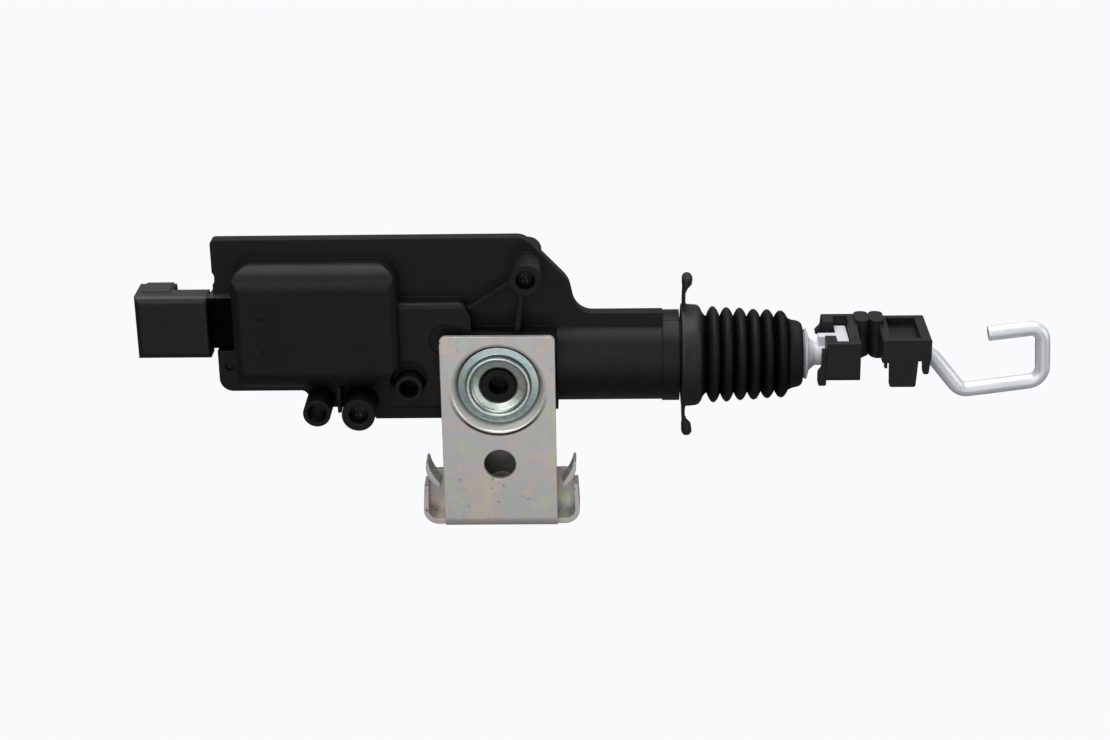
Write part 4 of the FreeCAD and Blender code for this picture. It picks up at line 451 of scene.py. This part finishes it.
# %% Plated steel
def plated_steel(name, dark, light, metal, roughness, line_scale, bevel, tints=None, light_and_shade_rings=None, bracket=False):
    """Plated or bare metal: a noise stretched by line_scale draws the rolling lines, a round one the cloudy
    surface. tints go to the passivation film and the rings to the eyelet's painted light and shade, and bracket adds
    the bracket's stains, painted highlights and painted shade."""
    material, tree, output = new_material(name)
    place = object_position(tree)
    cloud = noise(tree, place, 170.0, 5.0, 0.6)
    lines = noise(tree, object_position(tree, line_scale), 1000.0, 2.0, 0.5)
    colour = ramp(tree, cloud, [(0.28, dark), (0.74, light)])
    rough = between(tree, lines, roughness - 0.06, roughness + 0.08)
    normal = add_node(tree, "ShaderNodeBevel", {"Radius": bevel}, samples=6).outputs["Normal"]
    links = {}
    if tints:
        colour = passivation(tree, place, colour, tints)
    if light_and_shade_rings:
        colour = eyelet_light_and_shade(tree, colour, light_and_shade_rings)
    if bracket:
        wall = band(tree, from_eyelet(tree), DISH_WALL)
        colour = light_and_shade_in_the_bend(tree, small_stains(tree, place, dish_painted_light(tree, colour, wall)))
        rough = add_node(tree, "ShaderNodeMapRange", {"To Max": BURNISHED_ROUGHNESS},
                         {"Value": wall, "To Min": rough}).outputs["Result"]
        links["Metallic"] = between(tree, wall, metal, BURNISHED_METAL, 0.0, 1.0)
        normal = flat_at_the_joint(tree, normal)
    normal = add_node(tree, "ShaderNodeBump", {"Strength": 0.10, "Distance": 0.0001},
                      {"Height": lines, "Normal": normal}).outputs["Normal"]
    normal = add_node(tree, "ShaderNodeBump", {"Strength": 0.10, "Distance": 0.0003},
                      {"Height": cloud, "Normal": normal}).outputs["Normal"]
    links.update({"Base Color": colour, "Roughness": rough, "Normal": normal})
    shader = add_node(tree, "ShaderNodeBsdfPrincipled", {"Metallic": metal}, links)
    tree.links.new(shader.outputs["BSDF"], output.inputs["Surface"])
    return material


EVEN = (1.0, 1.0, 1.0)
ALONG_X = (0.06, 1.0, 1.0)
ALONG_Z = (1.0, 1.0, 0.06)
sheet_zinc = plated_steel("zinc_plated_sheet", "#c9c5bd", "#dcd8d1", 0.60, 0.38, ALONG_Z, 0.00025, bracket=True,
                          tints=("#dfd6ba", "#ced5bf", "#c9cfd0", "#d6cbcd", "#e0d1c2", "#dbd7be"))
eyelet_zinc = plated_steel("blue_zinc_eyelet", "#dfe8e6", "#f2f6f4", 0.88, 0.29, EVEN, 0.00015,
                           tints=("#e0e8d4", "#d6e4e4", "#e2e6ea", "#ebe8d8"),
                           # Painted shade at 6.3, 7.2 and 9.0 mm in the grooves and at the rim's edge, painted
                           # highlight from 6.5 to 7.0 mm on the crest.
                           light_and_shade_rings=((3.8, "#b9bdb9"), (4.6, "#eceee2"), (6.1, "#e6e9de"), (6.3, "#98a09e"),
                                  (6.5, "#ffffff"), (7.0, "#ffffff"), (7.2, "#646d70"), (7.4, "#c9d5d5"),
                                  (8.85, "#cdd9d8"), (9.0, "#50575a")))
wire_zinc = plated_steel("zinc_plated_wire", "#e2e6ec", "#f2f4f7", 0.50, 0.42, EVEN, 0.0001)
motor_steel = plated_steel("drawn_steel", "#8d8e90", "#a9aaab", 0.95, 0.34, ALONG_X, 0.0002)
screw_steel = plated_steel("dark_plated_screw", "#29282a", "#3a393a", 0.8, 0.46, (1.0, 0.3, 1.0), 0.0001)
tinned_brass = plated_steel("tinned_brass", "#b5b09c", "#cfcbbd", 0.95, 0.30, ALONG_X, 0.0001)
copper = plated_steel("bare_copper", "#a5603a", "#c27b4e", 0.95, 0.38, (1.0, 0.1, 0.1), 0.0001)
brass = plated_steel("cut_brass", "#a98a3f", "#c5a85a", 0.95, 0.32, (0.1, 1.0, 1.0), 0.0001)
ferrite = plated_steel("sintered_ferrite", "#2b2b2d", "#38383a", 0.2, 0.60, EVEN, 0.0002)

# %% [markdown]
# ## Finishing the carried-over solids
#
# A dictionary gives each solid its material. The solids come in as loose triangles with their own normals,
# so only their material slot changes.

# %% Materials on the solids
FINISH = {
    "front_cover": case_nylon, "rear_housing": case_nylon, "connector_body": socket_nylon, "rod_clip": clip_nylon,
    "case_screws": screw_steel, "connector_blades": tinned_brass, "bracket": sheet_zinc, "bracket_eyelet": eyelet_zinc,
    "motor_can": motor_steel, "motor_end_bell": white_nylon, "motor_magnets": ferrite, "motor_brushes": copper,
    "motor_shaft": motor_steel, "rotor_core": motor_steel, "rotor_windings": copper, "commutator": copper,
    "motor_pinion": brass, "crown_gear": white_nylon, "crown_gear_axle": motor_steel, "output_gear": white_nylon,
    "output_gear_axle": motor_steel, "plunger": white_nylon, "rod_guide_bush": white_nylon,
    "extend_bumper": rubber, "retract_bumper": rubber, "bellows_boot": rubber, "hook_wire": wire_zinc,
}
for name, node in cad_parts.items():
    node.data.materials.clear()
    node.data.materials.append(FINISH[name])
print("finished solids", len(FINISH), "of", len(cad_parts))

# %% [markdown]
# ## Surfaces from arrays
#
# Every new piece is a grid of points: one parameter runs along the shape and the other runs round it.
# The points are worked out as whole arrays and handed to the mesh in one go.


# %% Mesh from a grid
def grid_mesh(name, points, close_across=False, close_along=False, cap_start=False, cap_end=False):
    """points has the shape (along, across, 3). Neighbouring points make four-sided faces, and a cap is a fan
    about the mean of an end row."""
    rows, columns, _ = points.shape
    index = np.arange(rows * columns).reshape(rows, columns)
    if close_along:
        index = np.vstack([index, index[:1]])
    if close_across:
        index = np.hstack([index, index[:, :1]])
    quads = np.stack([index[:-1, :-1], index[:-1, 1:], index[1:, 1:], index[1:, :-1]], axis=-1).reshape(-1, 4)
    verts = points.reshape(-1, 3)
    faces = [quads]
    for wanted, row, flip in ((cap_start, 0, True), (cap_end, rows - 1, False)):
        if wanted:
            centre = len(verts)
            verts = np.vstack([verts, points[row].mean(axis=0)])
            ring = row * columns + np.arange(columns)
            around = np.roll(ring, -1)
            pair = (around, ring) if flip else (ring, around)
            faces.append(np.stack([pair[0], pair[1], np.full(columns, centre)], axis=-1))
    mesh = bpy.data.meshes.new(name)
    mesh.from_pydata(verts.tolist(), [], [face for group in faces for face in group.tolist()])
    mesh.polygons.foreach_set("use_smooth", np.ones(len(mesh.polygons), dtype=bool))
    mesh.update()
    return mesh


def outward(mesh):
    """Joins points that coincide and turns every face of a closed mesh outwards."""
    work = bmesh.new()
    work.from_mesh(mesh)
    bmesh.ops.remove_doubles(work, verts=work.verts, dist=1e-7)
    bmesh.ops.recalc_face_normals(work, faces=work.faces)
    work.to_mesh(mesh)
    work.free()
    return mesh


def add_piece(name, mesh, material, body):
    """Links a finished mesh at the origin, gives it its material and ties it to a body of the model."""
    piece = bpy.data.objects.new(name, mesh)
    bpy.context.scene.collection.objects.link(piece)
    mesh.materials.append(material)
    if body:
        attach(piece, body)
    print(name, "faces", len(mesh.polygons))
    return piece


# %% [markdown]
# ## Bellows boot
#
# The boot is one soft moulding: a thick ring that grips the end of the tube, six pleats that fold as the rod moves,
# and a cuff round the rod.
# It is a profile turned about the rod's axis. Each pleat is one minus a power of the distance from its tip,
# which makes a broad round tip and a narrow valley.
# A second line inside the first gives the wall its thickness, and slow ripples round the ring stand for the lumps
# that soft rubber has.

# %% Boot profile
PLEATS = 6
PITCH = 0.00304
FIRST_PEAK = 0.0480
PEAK_RADIUS, PEAK_TAPER = 0.01085, 0.00105
VALLEY_RADIUS, VALLEY_TAPER = 0.00872, 0.00060
TIP_POWER = 2.1
WALL = 0.0009
STEPS_PER_PLEAT = 24
RING_LEFT, RING_RIGHT = 0.0407, 0.0452
CUFF_LEFT, CUFF_RIGHT = 0.0647, 0.0680


def pleat_radius(x, wall):
    """valley + (peak - valley) (1 - d ** TIP_POWER). d runs from 0 on a pleat's tip to 1 in a valley, and both
    radii shrink towards the cuff."""
    share = np.clip((x - FIRST_PEAK) / (PITCH * (PLEATS - 1)), 0.0, 1.0)
    peak = PEAK_RADIUS - PEAK_TAPER * share - wall
    valley = VALLEY_RADIUS - VALLEY_TAPER * share - wall
    away = 2 * np.abs(np.mod((x - FIRST_PEAK) / PITCH + 0.5, 1.0) - 0.5)
    return valley + (peak - valley) * (1.0 - away ** TIP_POWER)


def smooth_corners(line, rounds=3):
    """Cuts every corner of an open line at a quarter and three quarters of each side, a few times over."""
    for _ in range(rounds):
        start, end = line[:-1], line[1:]
        cut = np.stack([start * 0.75 + end * 0.25, start * 0.25 + end * 0.75], axis=1).reshape(-1, 2)
        line = np.vstack([line[:1], cut, line[-1:]])
    return line


def boot_profile():
    """(x, radius) round the boot's wall: ring, pleats and cuff outside, then back inside at the wall's thickness."""
    ring = smooth_corners(np.array([[RING_LEFT, 0.0096], [RING_LEFT, 0.0114], [RING_LEFT + 0.0003, 0.01165],
                                    [RING_RIGHT - 0.0012, 0.01150], [RING_RIGHT - 0.0002, 0.01090],
                                    [RING_RIGHT + 0.0004, 0.0094], [FIRST_PEAK - PITCH / 2 - 0.0002, VALLEY_RADIUS]]))
    x = np.linspace(FIRST_PEAK - PITCH / 2, FIRST_PEAK + PITCH * (PLEATS - 0.5), STEPS_PER_PLEAT * PLEATS + 1)
    outside = np.stack([x, pleat_radius(x, 0.0)], axis=1)
    cuff = smooth_corners(np.array([[CUFF_LEFT - 0.0001, 0.00812], [CUFF_LEFT + 0.0003, 0.0080],
                                    [CUFF_LEFT + 0.0010, 0.00765], [CUFF_RIGHT - 0.0009, 0.00745],
                                    [CUFF_RIGHT - 0.0001, 0.00680], [CUFF_RIGHT, 0.0059], [CUFF_RIGHT, 0.00535]]))
    inside_cuff = np.array([[CUFF_RIGHT - 0.0002, 0.00531], [CUFF_LEFT + 0.0010, 0.00531],
                            [CUFF_LEFT + 0.0004, 0.0070]])
    inside = np.stack([x[::-1], pleat_radius(x[::-1], WALL)], axis=1)
    bore = np.array([[RING_RIGHT, 0.00850], [RING_LEFT + 0.0002, 0.00850], [RING_LEFT, 0.00870]])
    return np.vstack([ring, outside, cuff, inside_cuff, inside, bore])


# %% Boot surface
RING_MIDDLE = 0.0430
DENT_ANGLE = 3.6
WOBBLE = 0.00005


def turned_boot(profile, count=144):
    """Each profile point goes round the rod's axis: y = axis + r cos a, z = axis + r sin a.
    One dent and five shallow ripples sink the middle of the ring's outside. Three waves of height WOBBLE twist
    along the whole boot."""
    angle = np.linspace(0, 2 * np.pi, count, endpoint=False)
    x = np.repeat(profile[:, :1], count, axis=1)
    radius = np.repeat(profile[:, 1:], count, axis=1)
    on_ring = np.clip((RING_RIGHT + 0.0008 - x) / 0.0016, 0, 1) * np.clip((radius - 0.0093) / 0.0012, 0, 1)
    dent = 0.00022 * np.exp(-(np.mod(angle - DENT_ANGLE, 2 * np.pi) / 0.5) ** 2)
    ripples = 0.00018 * (1 + np.sin(5 * angle + 0.7)) / 2
    radius = radius - on_ring * np.exp(-((x - RING_MIDDLE) / 0.0011) ** 2) * (dent + ripples)
    radius = radius + WOBBLE * np.sin(3 * angle + 900 * x) * (radius > 0.0075)
    return np.stack([x, ROD_Y + radius * np.cos(angle), ROD_Z + radius * np.sin(angle)], axis=-1)


boot_mesh = outward(grid_mesh("boot", turned_boot(boot_profile()), close_across=True, close_along=True))
boot = add_piece("boot", boot_mesh, rubber, None)
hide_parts("bellows_boot")
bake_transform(boot)

# %% [markdown]
# Two thin tabs stand off the ring, one up and one down, each with a bead at its end for pulling the boot on.
# A tab is a stack of rounded cross-sections: its thickness, its middle and its depth change with height.

# %% Pull tabs
TAB_FOOT, TAB_HEIGHT = 0.0104, 0.0088


def pull_tab(side):
    """Sections with x = middle + half * |cos a| ** 0.7 and y = ROD_Y + depth * |sin a| ** 0.45, with their signs.
    half, middle and depth are read from a short table of the tab's height t, which runs from 0 to 1."""
    t = np.linspace(0, 1, 60)
    knots = np.array([0.00, 0.06, 0.14, 0.30, 0.55, 0.68, 0.78, 0.90, 0.97, 1.00])
    halves = np.array([1.00, 0.75, 0.50, 0.42, 0.40, 0.62, 1.12, 1.20, 0.85, 0.20])
    middles = np.array([41.95, 41.7, 41.40, 41.3, 41.35, 41.65, 42.00, 42.10, 42.05, 42.00])
    depths = np.array([2.6, 2.5, 2.35, 2.3, 2.3, 2.3, 2.3, 2.25, 2.0, 1.5])
    half, middle, depth = (np.interp(t, knots, row * MILLIMETRE)[:, None] for row in (halves, middles, depths))
    angle = np.linspace(0, 2 * np.pi, 32, endpoint=False)
    c, s = np.cos(angle), np.sin(angle)
    x = middle + half * np.sign(c) * np.abs(c) ** 0.7
    y = ROD_Y + depth * np.sign(s) * np.abs(s) ** 0.45
    z = np.repeat((ROD_Z + side * (TAB_FOOT + TAB_HEIGHT * t))[:, None], len(angle), axis=1)
    return np.stack([x, y, z], axis=-1)


for label, side in (("upper", 1), ("lower", -1)):
    tab_mesh = outward(grid_mesh(label + "_tab", pull_tab(side), close_across=True, cap_start=True, cap_end=True))
    add_piece(label + "_tab", tab_mesh, rubber, "housing")

# %% [markdown]
# ## Lines with round corners
#
# The eyelet's profile and the wire's path are both straight runs joined by circular arcs, so one function serves
# for the two.
# At each corner the arc touches both runs. It starts at radius / tan(half angle) from the corner, and its centre
# lies on the corner's bisector.


# %% Round corners
def rounded_line(corners, count=10):
    """Corners are rows of (a, b, radius). Each inner corner becomes an arc of that radius with count points,
    and the two ends stay as they are."""
    corners = np.asarray(corners, dtype=float)
    line = [corners[:1, :2]]
    for before, here, after in zip(corners[:-2], corners[1:-1], corners[2:]):
        u = (before[:2] - here[:2]) / np.linalg.norm(before[:2] - here[:2])
        v = (after[:2] - here[:2]) / np.linalg.norm(after[:2] - here[:2])
        half = math.acos(float(np.clip(u @ v, -1, 1))) / 2
        middle = (u + v) / np.linalg.norm(u + v)
        centre = here[:2] + middle * here[2] / math.sin(half)
        start = here[:2] + u * here[2] / math.tan(half) - centre
        turn = -math.copysign(math.pi - 2 * half, u[0] * v[1] - u[1] * v[0])
        angle = turn * np.linspace(0, 1, count)
        line.append(centre + np.stack([start[0] * np.cos(angle) - start[1] * np.sin(angle),
                                       start[0] * np.sin(angle) + start[1] * np.cos(angle)], axis=-1))
    line.append(corners[-1:, :2])
    return np.vstack(line)


def even_steps(line, step):
    """The same line with its points at equal distances: each coordinate is read at evenly spaced lengths along it."""
    gaps = np.linalg.norm(np.diff(line, axis=0), axis=1)
    line = np.vstack([line[:1], line[1:][gaps > 1e-9]])
    length = np.concatenate([[0.0], np.cumsum(gaps[gaps > 1e-9])])
    at = np.linspace(0.0, length[-1], int(round(length[-1] / step)) + 1)
    return np.stack([np.interp(at, length, line[:, 0]), np.interp(at, length, line[:, 1])], axis=-1)


# %% [markdown]
# ## Eyelet
#
# The eyelet is a pressed steel tube with a wide flat rim. Its mouth rises to a rolled crest and falls into a bowl
# round the stem.
# The rolled crest is never quite even, so the radius carries a ripple of three waves and a finer one of eleven.

# %% Eyelet surface
CREST_RADIUS, CREST_WIDTH = 0.0067, 0.0006


def eyelet_surface(count=192):
    """(y, r) profile turned about the eyelet's axis: x = r cos a, z = EYELET_Z + r sin a. The ripple is strongest
    at the crest. The profile's rows are y, r and corner radius, in millimetres."""
    rows = np.array([[5.58, 3.85, 0], [2.9, 3.85, 0.5], [2.30, 4.35, 0.5], [1.95, 5.9, 0.9], [0.88, 6.50, 0.25],
                     [0.86, 6.98, 0.22], [2.30, 7.30, 0.30], [2.38, 9.04, 0.10], [2.72, 9.06, 0.12],
                     [3.08, 8.80, 0.05], [3.08, 4.72, 0.10], [5.58, 4.72, 0.10], [5.60, 4.2, 0]])
    profile = rounded_line(rows * MILLIMETRE, 8)
    angle = np.linspace(0, 2 * np.pi, count, endpoint=False)
    near_crest = np.exp(-((profile[:, 1:] - CREST_RADIUS) / CREST_WIDTH) ** 2)
    ripple = near_crest * (0.00003 * np.sin(3 * angle + 1.1) + 0.000012 * np.sin(11 * angle))
    radius = profile[:, 1:] + ripple
    y = profile[:, :1] + 0.6 * ripple
    return np.stack([radius * np.cos(angle), y, EYELET_Z + radius * np.sin(angle)], axis=-1)


eyelet_mesh = outward(grid_mesh("eyelet", eyelet_surface(), close_across=True, close_along=True))
eyelet = add_piece("eyelet", eyelet_mesh, eyelet_zinc, "housing")
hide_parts("bracket_eyelet")

# %% [markdown]
# ## Hook wire
#
# The wire lies in one upright plane. Its tail stands in the clip, then it runs out, drops, runs along and bends
# back into the hook.
# A bend squeezes the section a little, so it is 4 percent flatter in the plane of the bend, and both cut ends are
# slightly rounded.

# %% Wire surface
WIRE_RADIUS = 0.0017
WIRE_STEP = 0.00035
SQUEEZE = 0.04
FULL_BEND = 0.12


def wire_surface(count=40):
    """centre(s) + r(s) (n cos a + e_y sin a), where n is square to the path in its plane and r falls to a rounded
    cut at both ends. The path's rows are x, z and bend radius, in millimetres."""
    rows = np.array([[90.8, 24.2, 0], [90.8, 20.9, 1.9], [96.8, 20.9, 3.0], [103.9, 11.9, 3.0],
                     [122.3, 14.3, 3.4], [121.6, 27.0, 2.8], [109.5, 25.5, 0]])
    path = even_steps(rounded_line(rows * MILLIMETRE, 24), WIRE_STEP)
    path = np.vstack([path[:1], path[:1] + (path[1] - path[0]) * np.array([[0.03], [0.25]]), path[1:-1],
                      path[-1] + (path[-2] - path[-1]) * np.array([[0.25], [0.03]]), path[-1:]])
    along = np.gradient(path, axis=0)
    along /= np.linalg.norm(along, axis=1, keepdims=True)
    normal = np.stack([-along[:, 1], along[:, 0]], axis=-1)
    bend = np.linalg.norm(np.gradient(along, axis=0), axis=1)
    bend = np.convolve(bend, np.ones(9) / 9, mode="same")
    squeeze = 1.0 - SQUEEZE * np.clip(bend / FULL_BEND, 0, 1)
    size = np.ones(len(path))
    size[[0, -1]], size[[1, -2]], size[[2, -3]] = 0.86, 0.93, 0.985
    angle = np.linspace(0, 2 * np.pi, count, endpoint=False)
    flat = (WIRE_RADIUS * size * squeeze)[:, None] * np.cos(angle)
    deep = (WIRE_RADIUS * size)[:, None] * np.sin(angle)
    x = path[:, :1] + normal[:, :1] * flat
    z = path[:, 1:] + normal[:, 1:] * flat
    return np.stack([x, ROD_Y + deep, z], axis=-1)


wire_mesh = outward(grid_mesh("wire", wire_surface(), close_across=True, cap_start=True, cap_end=True))
wire = add_piece("wire", wire_mesh, wire_zinc, "hook")
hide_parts("hook_wire")

# %% [markdown]
# ## Light and background
#
# The photograph has plain studio light from above, a weaker fill from the front and a white background.
# Four large area lamps give that. The floor lies well below the part, which is held up by its bracket,
# and the world is white to the camera and weak as a light.


# %% Lamps
def area_lamp(name, place, aim, size, power):
    """A white square lamp at place that points at aim. Its size is in metres and its power in watts."""
    data = bpy.data.lights.new(name, "AREA")
    data.shape = "SQUARE"
    data.size = size
    data.energy = power
    lamp = bpy.data.objects.new(name, data)
    direction = Vector(aim) - Vector(place)
    turn = direction.to_track_quat("-Z", "Y").to_matrix().to_4x4()
    lamp.matrix_world = Matrix.Translation(Vector(place)) @ turn
    bpy.context.scene.collection.objects.link(lamp)


area_lamp("top_lamp", place=(0.02, 0.10, 0.80), aim=(0.01, 0.0, 0.02), size=0.9, power=8.0)
area_lamp("front_lamp", place=(-0.30, -0.85, 0.40), aim=(0.01, 0.0, 0.02), size=0.7, power=3.0)
area_lamp("low_lamp", place=(0.10, -0.75, -0.22), aim=(0.01, 0.0, 0.0), size=0.6, power=1.2)
area_lamp("right_lamp", place=(0.80, -0.20, 0.15), aim=(0.03, 0.0, 0.02), size=0.6, power=1.5)


# %% World
def white_world():
    """A world that looks white to the camera, also through clear material, and lights the part and shows in
    reflections at a strength of 0.30."""
    world = bpy.data.worlds.new("studio")
    bpy.context.scene.world = world
    world.use_nodes = True
    tree = world.node_tree
    tree.nodes.clear()
    path = add_node(tree, "ShaderNodeLightPath")
    seen = add_node(tree, "ShaderNodeMath", operation="MAXIMUM",
                    links={0: path.outputs["Is Camera Ray"], 1: path.outputs["Is Transmission Ray"]})
    dim = add_node(tree, "ShaderNodeBackground", {"Color": linear("#f4f4f6"), "Strength": 0.30})
    bright = add_node(tree, "ShaderNodeBackground", {"Color": linear("#fcfcfe"), "Strength": 1.0})
    mix = add_node(tree, "ShaderNodeMixShader", links={0: seen.outputs[0], 1: dim.outputs[0], 2: bright.outputs[0]})
    out = tree.nodes.new("ShaderNodeOutputWorld")
    tree.links.new(mix.outputs[0], out.inputs["Surface"])


white_world()


# %% Floor
def pale_floor(height, half):
    """A floor that shows near white to the camera and takes a trace of shadow. half is half its side."""
    material, tree, output = new_material("pale_floor")
    path = add_node(tree, "ShaderNodeLightPath")
    share = add_node(tree, "ShaderNodeMath", {1: 0.97}, {0: path.outputs["Is Camera Ray"]}, operation="MULTIPLY")
    matt = add_node(tree, "ShaderNodeBsdfPrincipled", {"Base Color": linear("#6e6e70"), "Roughness": 0.9})
    glow = add_node(tree, "ShaderNodeEmission", {"Color": linear("#fdfdff"), "Strength": 1.0})
    mix = add_node(tree, "ShaderNodeMixShader", links={0: share.outputs[0], 1: matt.outputs[0], 2: glow.outputs[0]})
    tree.links.new(mix.outputs[0], output.inputs["Surface"])
    corners = np.array([[[-half, -half, height], [half, -half, height]], [[-half, half, height], [half, half, height]]])
    floor = bpy.data.objects.new("floor", grid_mesh("floor", corners))
    floor.data.materials.append(material)
    bpy.context.scene.collection.objects.link(floor)


pale_floor(height=-0.30, half=6.0)
